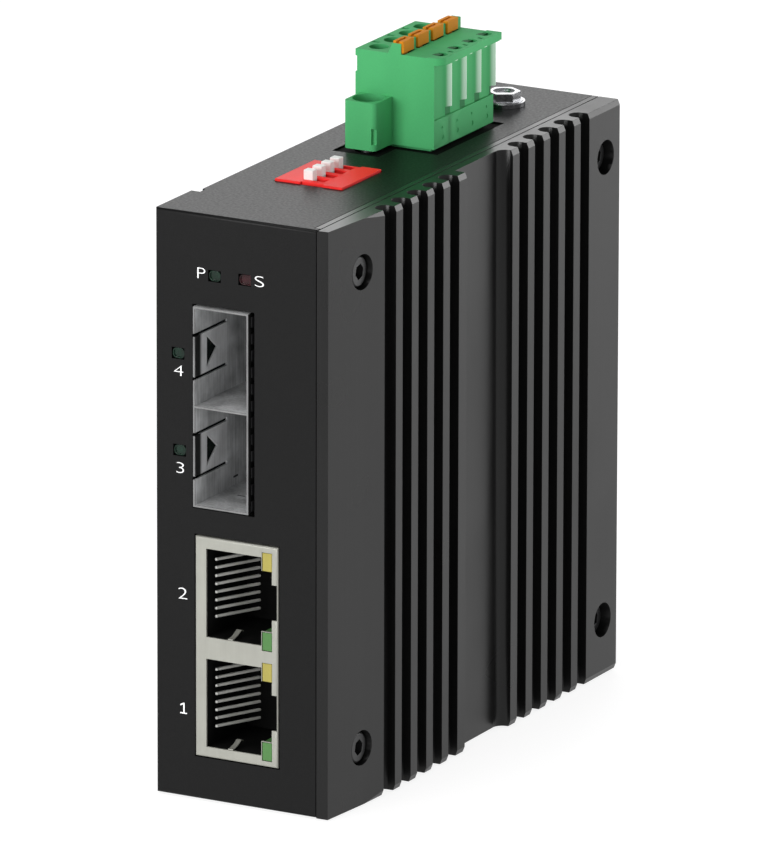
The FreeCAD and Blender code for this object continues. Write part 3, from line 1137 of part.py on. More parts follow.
# ---------------------------------------------------------------- earth screw
def earth_screw():
    """Hexagon head screw with a flange, for the earth lead."""
    base = V(EARTH_X, EARTH_Y, SHELL_HEIGHT)
    up = V(0, 0, 1)
    flange = rod(EARTH_FLANGE_RADIUS, EARTH_FLANGE, base, up)
    flange = flange.makeFillet(EARTH_FLANGE * 0.4, edges_where(
        flange, lambda b: b.ZMin > SHELL_HEIGHT + EARTH_FLANGE - 1e-3))
    head = hex_bar(EARTH_FLATS, EARTH_HEAD, base + up * EARTH_FLANGE, up, 30)
    corner = EARTH_FLATS / math.sqrt(3)
    dome = Part.makeCone(corner + EARTH_HEAD + EARTH_CORNER, corner - EARTH_CORNER, EARTH_HEAD + 0.5,
                         base + up * (EARTH_FLANGE - 0.5), up)
    dish = rod(EARTH_FLATS / 2 - EARTH_DISH_WALL, 1,
               base + up * (EARTH_FLANGE + EARTH_HEAD - EARTH_DISH), up)
    shank = rod(EARTH_SHANK_RADIUS, EARTH_REACH, base - up * EARTH_REACH, up)
    return fuse([flange, head.common(dome).cut(dish), shank])


def earth_nut():
    """Hexagonal nut pressed into the underside of the top sheet."""
    start = V(EARTH_X, EARTH_Y, TOP_Z - EARTH_NUT)
    nut = hex_bar(EARTH_NUT_FLATS, EARTH_NUT, start, V(0, 0, 1))
    return nut.cut(rod(EARTH_SHANK_RADIUS, EARTH_NUT, start, V(0, 0, 1)))


# ---------------------------------------------------------------- parts on the board
def converter_chip():
    """Main circuit in a flat square package with leads on all sides."""
    x = BOARD_FACE_X
    half = CHIP_SIZE / 2
    body = block(x + CHIP_STANDOFF, x + CHIP_THICK,
                 CHIP_Y - half, CHIP_Y + half, CHIP_Z - half, CHIP_Z + half)
    leads = []
    height, width, reach = CHIP_LEAD
    outer = half + reach
    for i in range(CHIP_LEADS):
        low = (i - (CHIP_LEADS - 1) / 2) * CHIP_LEAD_PITCH - width / 2
        high = low + width
        leads.append(block(x, x + height, CHIP_Y - outer, CHIP_Y + outer, CHIP_Z + low, CHIP_Z + high))
        leads.append(block(x, x + height, CHIP_Y + low, CHIP_Y + high, CHIP_Z - outer, CHIP_Z + outer))
    return fuse([body] + leads)


def thermal_pads():
    """Soft pads on both ends of the heat spreader."""
    half = CHIP_SIZE / 2
    near = BOARD_FACE_X + CHIP_THICK
    far = SINK_INNER_X
    return group([block(near, near + PAD_THICK, CHIP_Y - half, CHIP_Y + half, CHIP_Z - half, CHIP_Z + half),
                  block(far - PAD_THICK, far, CHIP_Y - half, CHIP_Y + half, CHIP_Z - half, CHIP_Z + half)])


def heat_spreader():
    """Aluminium block that leads the chip's heat to the side plate."""
    half = CHIP_SIZE / 2
    x0 = BOARD_FACE_X + CHIP_THICK + PAD_THICK
    x1 = SINK_INNER_X - PAD_THICK
    bar = block(x0, x1, CHIP_Y - half, CHIP_Y + half, CHIP_Z - half, CHIP_Z + half)
    return bar.makeChamfer(SPREADER_CHAMFER, edges_where(bar, lambda b: b.XLength > (x1 - x0) / 2))


def line_transformer():
    """Signal transformer between the jack and the chip."""
    thick, length, height = LINE_SIZE
    x0 = BOARD_FACE_X + LINE_STANDOFF
    x1 = x0 + thick
    y0 = JACK_FRONT_Y + JACK_DEPTH + LINE_GAP
    z0 = BOARD_BOTTOM_Z + LINE_RISE
    body = block(x0, x1, y0, y0 + length, z0, z0 + height)
    body = body.makeChamfer(LINE_STANDOFF, edges_where(body, lambda b: b.XMin > x1 - 1e-3))
    lead_height, width, reach = LINE_LEAD
    first = z0 + (height - (LINE_LEADS - 1) * LINE_LEAD_PITCH - width) / 2
    leads = []
    for i in range(LINE_LEADS):
        z = first + i * LINE_LEAD_PITCH
        leads.append(block(BOARD_FACE_X, BOARD_FACE_X + lead_height,
                           y0 - reach, y0 + length + reach, z, z + width))
    return fuse([body] + leads)


def power_inductor():
    """Shielded coil of the supply."""
    height, side = COIL_SIZE
    radius, depth = COIL_DIMPLE
    x1 = BOARD_FACE_X + height
    y, z = BOARD_REAR_Y - COIL_FROM_REAR, BOARD_TOP_Z - COIL_FROM_TOP
    shell = block(BOARD_FACE_X, x1, y - side / 2, y + side / 2, z - side / 2, z + side / 2)
    shell = shell.makeFillet(COIL_ROUND, edges_where(shell, lambda b: b.XLength > height / 2))
    return shell.cut(rod(radius, 1, V(x1 - depth, y, z), V(1, 0, 0)))


def capacitors():
    """Three can capacitors of the supply."""
    cans = []
    x, y = BOARD_FACE_X, BOARD_REAR_Y - CANS_FROM_REAR
    for drop, radius, height in CANS:
        z = BOARD_TOP_Z - drop
        foot = block(x, x + CAN_FOOT, y - radius, y + radius, z - radius, z + radius)
        can = rod(radius - CAN_LIP, height - CAN_FOOT, V(x + CAN_FOOT, y, z), V(1, 0, 0))
        can = can.makeFillet(CAN_ROUND, edges_where(can, lambda b: b.XMin > x + height - 1e-3))
        cans.append(foot.fuse(can))
    return group(cans)


# ---------------------------------------------------------------- rail clip
def clip_plate():
    """Rail clip body: back plate, upper hook and the guides of the latch."""
    x0, x1 = CLIP_X, CLIP_X + CLIP_WIDTH
    hook_z = RAIL_TOP_Z + HOOK_ROOM
    nose_z = hook_z - HOOK_DROP
    nose, front_slant, rear_slant = HOOK_LEAD
    shoulder, shoulder_rise = HOOK_SHOULDER
    side = [V(x0, CLIP_Y, CLIP_BOTTOM_Z), V(x0, CLIP_FACE_Y, CLIP_BOTTOM_Z), V(x0, CLIP_FACE_Y, hook_z),
            V(x0, HOOK_Y, hook_z), V(x0, HOOK_Y, nose_z + front_slant), V(x0, HOOK_Y + nose, nose_z),
            V(x0, CLIP_REAR_Y, nose_z + rear_slant), V(x0, CLIP_REAR_Y, hook_z + shoulder_rise),
            V(x0, CLIP_REAR_Y - shoulder, CLIP_TOP_Z), V(x0, CLIP_Y, CLIP_TOP_Z)]
    plate = prism(side, V(CLIP_WIDTH, 0, 0))
    guides = []
    lip_y = CLIP_FACE_Y + GUIDE_LIP + 2 * LATCH_CLEAR
    reach = GUIDE_WIDTH + GUIDE_LAP
    for g0, g1, l0, l1 in ((x0, x0 + GUIDE_WIDTH, x0, x0 + reach), (x1 - GUIDE_WIDTH, x1, x1 - reach, x1)):
        guides.append(block(g0, g1, CLIP_FACE_Y - 0.2, lip_y, CLIP_BOTTOM_Z, GUIDE_TOP_Z))
        guides.append(block(l0, l1, lip_y, lip_y + GUIDE_LIP, CLIP_BOTTOM_Z, GUIDE_TOP_Z))
    stop = block(CLIP_MIDDLE_X - STOP_WIDTH / 2, CLIP_MIDDLE_X + STOP_WIDTH / 2, CLIP_FACE_Y - 0.2,
                 lip_y + GUIDE_LIP, CLIP_BOTTOM_Z, CLIP_BOTTOM_Z + STOP_HEIGHT)
    plate = fuse([plate, stop] + guides)
    cuts = []
    for z in CLIP_SCREWS_Z:
        cuts.append(rod(CLIP_SCREW_RADIUS + HOLE_CLEARANCE, 20, V(CLIP_MIDDLE_X, CLIP_Y - 1, z), V(0, 1, 0)))
        cuts.append(Part.makeCone(CLIP_SCREW_RADIUS + SEAM, CLIP_SCREW_HEAD + 2 * SEAM, CLIP_SCREW_SINK,
                                  V(CLIP_MIDDLE_X, CLIP_FACE_Y - CLIP_SCREW_SINK, z), V(0, 1, 0)))
    return plate.cut(cuts)


def rail_latch():
    """Sliding foot of the rail clip, with a catch above and a pull slot below."""
    x0 = CLIP_X + GUIDE_WIDTH + LATCH_CLEAR
    x1 = CLIP_X + CLIP_WIDTH - GUIDE_WIDTH - LATCH_CLEAR
    y0 = CLIP_FACE_Y + LATCH_CLEAR
    y1 = CLIP_FACE_Y + GUIDE_LIP + LATCH_CLEAR
    neck = GUIDE_WIDTH + GUIDE_LAP + LATCH_CLEAR
    catch_z = RAIL_BOTTOM_Z - CATCH_ROOM
    slide = block(x0, x1, y0, y1 + 0.2, LATCH_BOTTOM_Z, catch_z)
    tower = block(CLIP_X + neck, CLIP_X + CLIP_WIDTH - neck, y0, CLIP_REAR_Y, LATCH_BOTTOM_Z, catch_z)
    head_z = GUIDE_TOP_Z + LATCH_TRAVEL + LATCH_CLEAR
    head = prism([V(x0, y0, head_z), V(x0, y0, catch_z), V(x0, HOOK_Y, catch_z),
                  V(x0, HOOK_Y, catch_z + LATCH_CATCH), V(x0, HOOK_Y + CATCH_NOSE, catch_z + LATCH_CATCH),
                  V(x0, CLIP_REAR_Y, catch_z), V(x0, CLIP_REAR_Y, head_z)], V(x1 - x0, 0, 0))
    latch = fuse([slide, tower, head])
    w0, w1 = CLIP_MIDDLE_X - SPRING_WINDOW / 2, CLIP_MIDDLE_X + SPRING_WINDOW / 2
    window = block(w0, w1, y0 - 1, CLIP_REAR_Y - 0.8, CLIP_BOTTOM_Z - 0.4, SPRING_TOP_Z + SPRING_GAP)
    pull_z = LATCH_BOTTOM_Z + PULL_SLOT[0]
    pull = block(w0, w1, y0 - 1, CLIP_REAR_Y + 1, pull_z, pull_z + PULL_SLOT[1])
    return latch.cut([window, pull])


def latch_spring():
    """Coil spring that pushes the latch up, swept along short runs of its helix."""
    y = CLIP_FACE_Y + LATCH_CLEAR + SPRING_RADIUS + SPRING_WIRE / 2
    start = V(CLIP_MIDDLE_X, y, SPRING_LOW_Z + SPRING_WIRE / 2 + SPRING_GAP)
    rise = (SPRING_LENGTH - SPRING_WIRE - 2 * SPRING_GAP) / (SPRING_TURNS * SPRING_RUNS)
    line = []
    for i in range(SPRING_TURNS * SPRING_RUNS + 1):
        angle = 2 * math.pi * i / SPRING_RUNS
        line.append(start + V(SPRING_RADIUS * math.cos(angle), SPRING_RADIUS * math.sin(angle), rise * i))
    along = (line[1] - line[0]).normalize()
    out = V(1, 0, 0)
    out = (out - along * out.dot(along)).normalize()
    side = along.cross(out)
    ring = []
    for i in range(8):
        angle = math.pi * i / 4
        ring.append(line[0] + (out * math.cos(angle) + side * math.sin(angle)) * (SPRING_WIRE / 2))
    section = Part.makePolygon(ring + [ring[0]])
    return Part.makePolygon(line).makePipeShell([section], True, False, 1)


def clip_screws():
    """Countersunk screws that hold the rail clip."""
    screws = []
    head_height = CLIP_SCREW_SINK - SEAM
    root = CLIP_FACE_Y - CLIP_SCREW_SINK + SEAM / 2
    shank_length = CLIP_SCREW_LENGTH - head_height
    width, height = CLIP_SCREW_CROSS
    for z in CLIP_SCREWS_Z:
        head = Part.makeCone(CLIP_SCREW_RADIUS, CLIP_SCREW_HEAD, head_height,
                             V(CLIP_MIDDLE_X, root, z), V(0, 1, 0))
        shank = rod(CLIP_SCREW_RADIUS, shank_length, V(CLIP_MIDDLE_X, root - shank_length, z), V(0, 1, 0))
        cross = block(CLIP_MIDDLE_X - width / 2, CLIP_MIDDLE_X + width / 2,
                      root + head_height / 2, CLIP_FACE_Y + 1, z - height / 2, z + height / 2)
        screws.append(head.fuse(shank).cut(cross))
    return group(screws)


def clip_nuts():
    """Nuts pressed into the inside of the rear wall."""
    nuts = []
    for z in CLIP_SCREWS_Z:
        start = V(CLIP_MIDDLE_X, SHELL_DEPTH - SHEET - CLIP_NUT, z)
        nuts.append(hex_bar(EARTH_NUT_FLATS, CLIP_NUT, start, V(0, 1, 0))
                    .cut(rod(CLIP_SCREW_RADIUS, CLIP_NUT, start, V(0, 1, 0))))
    return group(nuts)


# ---------------------------------------------------------------- all pieces
def all_pieces():
    """Every node with its solid."""
    pieces = {
        "main_shell": main_shell(),
        "left_rear_cover": left_rear_cover(),
        "heat_sink_cover": heat_sink_cover(),
        "side_screws": side_screws(),
        "cover_screws": cover_screws(),
        "corner_posts": corner_posts(),
        "circuit_board": circuit_board(),
        "board_spacers": board_spacers(),
        "board_screws": board_screws(),
        "sfp_cage": sfp_cage(),
        "sfp_connectors": sfp_connectors(),
        "sfp_spring_fingers": sfp_spring_fingers(),
        "jack_shield": jack_shield(),
        "jack_body": jack_body(),
        "jack_contacts": jack_contacts(),
        "jack_lamps_green": jack_lamps(GREEN_LAMP_Z),
        "jack_lamps_yellow": jack_lamps(YELLOW_LAMP_Z),
        "light_pipe_power": board_pipe(POWER_PIPE, POWER_ARM_Y),
        "light_pipe_status": board_pipe(STATUS_PIPE, STATUS_ARM_Y),
        "light_pipe_port_3": edge_pipe(PORT_3_PIPE),
        "light_pipe_port_4": edge_pipe(PORT_4_PIPE),
        "indicator_lamps": indicator_lamps(),
        "switch_base": switch_base(),
        "switch_cover": switch_cover(),
        "terminal_header": terminal_header(),
        "header_pins": header_pins(),
        "flange_nuts": flange_nuts(),
        "terminal_plug": terminal_plug(),
        "plug_contacts": plug_contacts(),
        "flange_screws": flange_screws(),
        "earth_screw": earth_screw(),
        "earth_nut": earth_nut(),
        "converter_chip": converter_chip(),
        "thermal_pads": thermal_pads(),
        "heat_spreader": heat_spreader(),
        "line_transformer": line_transformer(),
        "power_inductor": power_inductor(),
        "capacitors": capacitors(),
        "clip_plate": clip_plate(),
        "rail_latch": rail_latch(),
        "latch_spring": latch_spring(),
        "clip_screws": clip_screws(),
        "clip_nuts": clip_nuts(),
    }
    for i in range(SLIDERS):
        pieces["switch_slider_%d" % (i + 1)] = switch_slider(i)
    for i in range(POLES):
        pieces["release_lever_%d" % (i + 1)] = release_lever(i)
    return pieces


def main():
    """Write one STEP file per node."""
    os.makedirs("parts", exist_ok=True)
    for name, shape in all_pieces().items():
        shape.translate(ORIGIN * -1)
        shape.exportStep("parts/%s.step" % name)
        box = shape.BoundBox
        print("%-20s solids %2d valid %s volume %9.2f  x %7.2f %7.2f  y %7.2f %7.2f  z %7.2f %7.2f" % (
            name, len(shape.Solids), shape.isValid(), shape.Volume,
            box.XMin, box.XMax, box.YMin, box.YMax, box.ZMin, box.ZMax))


main()
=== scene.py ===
"""Dresses the fibre media converter: finishes for every solid, and the finer pieces.

Sizes of pieces are in millimetres and are turned into metres where a mesh is made.
Places on the housing are given from the lower left corner of its front panel: X to
the right, Y back and Z up.
"""

import json
import logging
import math
from dataclasses import dataclass, field, replace
from enum import Enum
from typing import Any, Callable, Dict, Optional, Sequence, Tuple, Union

import bmesh
import bpy
from mathutils import Matrix, Vector

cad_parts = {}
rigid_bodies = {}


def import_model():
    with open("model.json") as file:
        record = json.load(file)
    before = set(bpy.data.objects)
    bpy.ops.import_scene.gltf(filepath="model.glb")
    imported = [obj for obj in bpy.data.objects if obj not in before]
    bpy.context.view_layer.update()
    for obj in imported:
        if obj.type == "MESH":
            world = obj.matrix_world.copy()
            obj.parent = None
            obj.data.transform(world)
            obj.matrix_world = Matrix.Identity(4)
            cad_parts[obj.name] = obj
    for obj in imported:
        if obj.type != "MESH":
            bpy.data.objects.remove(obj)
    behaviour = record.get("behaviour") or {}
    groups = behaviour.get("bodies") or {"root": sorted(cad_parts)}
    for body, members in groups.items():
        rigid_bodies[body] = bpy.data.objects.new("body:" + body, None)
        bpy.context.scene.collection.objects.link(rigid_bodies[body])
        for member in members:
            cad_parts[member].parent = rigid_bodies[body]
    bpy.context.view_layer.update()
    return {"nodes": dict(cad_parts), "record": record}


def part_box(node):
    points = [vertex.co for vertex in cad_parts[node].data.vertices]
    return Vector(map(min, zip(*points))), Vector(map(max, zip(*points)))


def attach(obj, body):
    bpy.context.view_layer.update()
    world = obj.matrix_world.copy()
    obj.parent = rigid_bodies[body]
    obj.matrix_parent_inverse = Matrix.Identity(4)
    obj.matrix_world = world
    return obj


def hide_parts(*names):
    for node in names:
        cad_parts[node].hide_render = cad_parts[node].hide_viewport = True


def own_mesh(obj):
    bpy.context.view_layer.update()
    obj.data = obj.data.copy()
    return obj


LOG = logging.getLogger("media_converter")
MM = 0.001

# Corners of a solid's triangles that are nearer than this are one corner, in metres.
WELD_DISTANCE = 2e-6
# Faces that turn by less than this are one flat face.
FLAT_ANGLE = math.radians(0.6)
# Sockets of a Mix node that mixes colours, and of one that mixes values.
COLOUR_FIRST, COLOUR_SECOND, COLOUR_RESULT = 6, 7, 2
VALUE_FIRST, VALUE_SECOND = 2, 3
# Nearly all of a noise lies between these.
NOISE_LOW, NOISE_HIGH = 0.3, 0.7
# A direction is along an axis where its share of that axis is above this.
ALONG = 0.9

Colour = Tuple[float, float, float]
Point = Tuple[float, float, float]
Range = Tuple[float, float]

WHITE: Colour = (1.0, 1.0, 1.0)


class Axis(Enum):
    """Direction of a round bar, or of a distance on the housing."""

    X = "X"
    Y = "Y"
    Z = "Z"


def tint(red: float, green: float, blue: float) -> Colour:
    """Linear colour from a display colour.

    Args:
        red: Red, 0 to 255.
        green: Green, 0 to 255.
        blue: Blue, 0 to 255.

    Returns:
        The linear colour.
    """
    def linear(value: float) -> float:
        """One channel."""
        share = value / 255
        return share / 12.92 if share <= 0.04045 else ((share + 0.055) / 1.055) ** 2.4
    return (linear(red), linear(green), linear(blue))


def scaled(colour: Colour, factor: float, lift: float = 0.0) -> Colour:
    """A colour times a factor, with a little added to each channel."""
    return tuple(min(c * factor + lift, 1.0) for c in colour)


def grey(level: float) -> Colour:
    """A grey of a linear level."""
    return (level, level, level)


# ---------------------------------------------------------------- shader building
class Wire:
    """The output of a shader node, with arithmetic that adds Math nodes."""

    def __init__(self, sheet: "ShaderSheet", node: bpy.types.Node, output: Union[int, str]) -> None:
        """Wrap one output of a node.

        Args:
            sheet: The node tree that the node is in.
            node: The node.
            output: Which of its outputs.
        """
        self.sheet = sheet
        self.node = node
        self.output = output

    @property
    def socket(self) -> bpy.types.NodeSocket:
        """The output socket."""
        return self.node.outputs[self.output]

    def _math(self, operation: str, other: Union["Wire", float], flip: bool = False) -> "Wire":
        """Add one Math node.

        Args:
            operation: The Math node's operation.
            other: The second value.
            flip: Whether the other value comes first.

        Returns:
            The node's output.
        """
        first, second = (other, self) if flip else (self, other)
        return self.sheet.add("ShaderNodeMath", {"operation": operation}, {0: first, 1: second})

    def __add__(self, other: Union["Wire", float]) -> "Wire":
        """Sum."""
        return self._math("ADD", other)

    def __radd__(self, other: float) -> "Wire":
        """Sum with a number on the left."""
        return self._math("ADD", other, True)

    def __sub__(self, other: Union["Wire", float]) -> "Wire":
        """Difference."""
        return self._math("SUBTRACT", other)

    def __rsub__(self, other: float) -> "Wire":
        """Difference with a number on the left."""
        return self._math("SUBTRACT", other, True)

    def __mul__(self, other: Union["Wire", float]) -> "Wire":
        """Product."""
        return self._math("MULTIPLY", other)

    def __rmul__(self, other: float) -> "Wire":
        """Product with a number on the left."""
        return self._math("MULTIPLY", other, True)

    def __mod__(self, other: float) -> "Wire":
        """What is left over a whole number of steps, never below zero."""
        return self._math("FLOORED_MODULO", other)

    def above(self, limit: float) -> "Wire":
        """One where this value is above a limit and zero elsewhere."""
        return self._math("GREATER_THAN", limit)

    def below(self, limit: float) -> "Wire":
        """One where this value is below a limit and zero elsewhere."""
        return self._math("LESS_THAN", limit)

    def between(self, low: float, high: float) -> "Wire":
        """One where this value is between two limits and zero elsewhere."""
        return self.above(low) * self.below(high)


Value = Union[float, Sequence[float], Wire]


def mean(first: Wire, second: Wire, share: float) -> Wire:
    """A mean of two values that gives the first one a share."""
    return first * share + second * (1 - share)


@dataclass(frozen=True)
class Pattern:
    """A noise: its blotches in a metre, its finer layers and its scale along the axes."""

    per_metre: float
    detail: float = 2.0
    rough: float = 0.5
    stretch: Point = (1.0, 1.0, 1.0)


class ShaderSheet:
    """The node tree of a material or of the surroundings."""

    def __init__(self, owner: Union[bpy.types.Material, bpy.types.World]) -> None:
        """Empty the owner's node tree.

        Args:
            owner: The material or the surroundings.
        """
        owner.use_nodes = True
        self.tree = owner.node_tree
        self.tree.nodes.clear()

    def add(self, kind: str, settings: Dict[str, Any], sockets: Dict[Union[int, str], Value],
            output: Union[int, str] = 0) -> Wire:
        """Add a node.

        Args:
            kind: The node's type.
            settings: Its settings, which are set first.
            sockets: Values or wires for its inputs.
            output: Which output to return.

        Returns:
            The chosen output.
        """
        node = self.tree.nodes.new(kind)
        for name, value in settings.items():
            setattr(node, name, value)
        for name, value in sockets.items():
            if isinstance(value, Wire):
                self.tree.links.new(value.socket, node.inputs[name])
            elif node.inputs[name].type == "RGBA":
                node.inputs[name].default_value = (*value, 1.0)
            else:
                node.inputs[name].default_value = value
        return Wire(self, node, output)

    def place(self) -> Wire:
        """The surface's place in the part, in metres."""
        return self.add("ShaderNodeTexCoord", {}, {}, "Object")

    def stretched(self, scale: Point) -> Wire:
        """The surface's place, with a scale along each axis."""
        return self.add("ShaderNodeMapping", {}, {"Vector": self.place(), "Scale": scale})

    def noise(self, pattern: Pattern) -> Wire:
        """Noise of about 0.3 to 0.7."""
        return self.add("ShaderNodeTexNoise", {}, {
            "Vector": self.stretched(pattern.stretch), "Scale": pattern.per_metre,
            "Detail": pattern.detail, "Roughness": pattern.rough})

    def along(self, corner: Point, axis: Axis) -> Wire:
        """Distance on the housing.

        Args:
            corner: The panel's corner, in metres.
            axis: The direction.

        Returns:
            The distance from the corner, in millimetres.
        """
        origin = corner["XYZ".index(axis.value)]
        here = self.add("ShaderNodeSeparateXYZ", {}, {0: self.place()}, axis.value)
        return (here - origin) * (1 / MM)

    def within(self, corner: Point, low: Point, high: Point) -> Wire:
        """A box on the housing.

        Args:
            corner: The panel's corner, in metres.
            low: The box's lowest corner, in millimetres.
            high: Its highest corner, in millimetres.

        Returns:
            One inside the box and zero outside it.
        """
        across, back, up = (self.along(corner, axis).between(start, end)
                            for axis, start, end in zip(Axis, low, high))
        return across * back * up

    def rise(self, value: Wire, start: float, end: float) -> Wire:
        """Zero before a start, one after an end, and smooth between them."""
        return self.add("ShaderNodeMapRange", {"interpolation_type": "SMOOTHSTEP"}, {
            "Value": value, "From Min": start, "From Max": end})

    def spread(self, noise: Wire, low: float, high: float) -> Wire:
        """Stretch a noise over a range."""
        return self.add("ShaderNodeMapRange", {}, {
            "Value": noise, "From Min": NOISE_LOW, "From Max": NOISE_HIGH,
            "To Min": low, "To Max": high})

    def vary(self, noise: Wire, middle: float, swing: Range) -> Wire:
        """Stretch a noise over a range that is given from a middle value."""
        return self.spread(noise, middle + swing[0], middle + swing[1])

    def blend(self, share: Value, first: Value, second: Value) -> Wire:
        """Mix two colours.

        Args:
            share: Share of the second colour.
            first: The first colour.
            second: The second colour.

        Returns:
            The mixed colour.
        """
        return self.add("ShaderNodeMix", {"data_type": "RGBA"}, {
            0: share, COLOUR_FIRST: first, COLOUR_SECOND: second}, COLOUR_RESULT)

    def bump(self, height: Wire, depth: float, strength: float) -> Wire:
        """Turn heights of 0 to 1 into a surface slope.

        Args:
            height: The height.
            depth: Depth in millimetres that a height of 1 stands for.
            strength: Share of the effect.

        Returns:
            The normal.
        """
        return self.add("ShaderNodeBump", {}, {
            "Height": height, "Distance": depth * MM, "Strength": strength})

    def surface(self, **sockets: Value) -> None:
        """Finish with a Principled surface.

        Args:
            **sockets: Its inputs, with underscores for spaces.
        """
        shader = self.add("ShaderNodeBsdfPrincipled", {}, {
            name.replace("_", " "): value for name, value in sockets.items()})
        self.add("ShaderNodeOutputMaterial", {}, {"Surface": shader})


# ---------------------------------------------------------------- finishes
class Finish:
    """The finish of a surface."""

    def build(self, name: str) -> bpy.types.Material:
        """Make the material.

        Args:
            name: The material's name.

        Returns:
            The material.
        """
        material = bpy.data.materials.new(name)
        self.paint(ShaderSheet(material))
        return material

    def paint(self, sheet: ShaderSheet) -> None:
        """Add the finish's nodes to an empty sheet."""
        raise NotImplementedError

    def tone(self, sheet: ShaderSheet, colour: Wire) -> Wire:
        """The colour with what is special to a piece, which is nothing on most."""
        return colour


@dataclass(frozen=True)
class PowderCoat(Finish):
    """Satin powder coat with a fine orange peel."""

    colour: Colour
    roughness: float
    level: float
    cloud: Pattern = Pattern(60, 3)
    peel: Pattern = Pattern(6400, 3, 0.6)
    speck: Pattern = Pattern(2600)
    dark: float = 0.7
    pale: float = 1.6
    lift: float = 0.001
    cloud_share: float = 0.3
    swing: Range = (-0.05, 0.07)
    depth: float = 0.01
    strength: float = 0.45

    def paint(self, sheet: ShaderSheet) -> None:
        """Add the finish's nodes.

        Args:
            sheet: The empty sheet.
        """
        peel = sheet.noise(self.peel)
        colour = sheet.blend(sheet.spread(peel, 0, 1), scaled(self.colour, self.dark),
                             scaled(self.colour, self.pale, self.lift))
        cloud = sheet.spread(sheet.noise(self.cloud), 0, self.cloud_share)
        colour = sheet.blend(cloud, colour, self.colour)
        rough = sheet.vary(sheet.noise(self.speck), self.roughness, self.swing)
        sheet.surface(Base_Color=colour, Roughness=rough, Specular_IOR_Level=self.level,
                      Normal=sheet.bump(peel, self.depth, self.strength))


@dataclass(frozen=True)
class Anodised(Finish):
    """Satin anodised extrusion with faint draw lines along Z."""

    colour: Colour
    roughness: float
    level: float
    lines: Pattern = Pattern(1500, 3, 0.6, (1, 1, 0.012))
    grain: Pattern = Pattern(4800, 3, 0.6)
    cloud: Pattern = Pattern(45)
    pale: float = 1.6
    lift: float = 0.001
    swing: Range = (-0.05, 0.08)
    depth: float = 0.01
    strength: float = 0.5

    def paint(self, sheet: ShaderSheet) -> None:
        """Add the finish's nodes.

        Args:
            sheet: The empty sheet.
        """
        lines, grain = sheet.noise(self.lines), sheet.noise(self.grain)
        colour = sheet.blend(sheet.spread(mean(lines, grain, 0.5), 0, 1), self.colour,
                             scaled(self.colour, self.pale, self.lift))
        rough = sheet.vary(sheet.noise(self.cloud), self.roughness, self.swing)
        sheet.surface(Base_Color=colour, Roughness=rough, Specular_IOR_Level=self.level,
                      Normal=sheet.bump(mean(lines, grain, 0.6), self.depth, self.strength))


@dataclass(frozen=True)
class Plated(Finish):
    """Plated or drawn metal with faint rolling lines and finger marks."""

    colour: Colour
    roughness: float
    metallic: float = 1.0
    stretch: Point = (1.0, 0.03, 1.0)
    depth: float = 0.004
    dull: float = 0.72
    lines_per_metre: float = 2400
    smudge: Pattern = Pattern(260, 3, 0.55)
    swing: Range = (-0.07, 0.1)
    strength: float = 0.6

    def paint(self, sheet: ShaderSheet) -> None:
        """Add the finish's nodes.

        Args:
            sheet: The empty sheet.
        """
        lines = sheet.noise(Pattern(self.lines_per_metre, 3, 0.6, self.stretch))
        smudge = sheet.noise(self.smudge)
        colour = sheet.blend(sheet.spread(mean(smudge, lines, 0.6), 0, 1),
                             scaled(self.colour, self.dull), self.colour)
        rough = sheet.vary(mean(smudge, lines, 0.7), self.roughness, self.swing)
        sheet.surface(Base_Color=self.tone(sheet, colour), Roughness=rough,
                      Metallic=self.metallic, Normal=sheet.bump(lines, self.depth, self.strength))


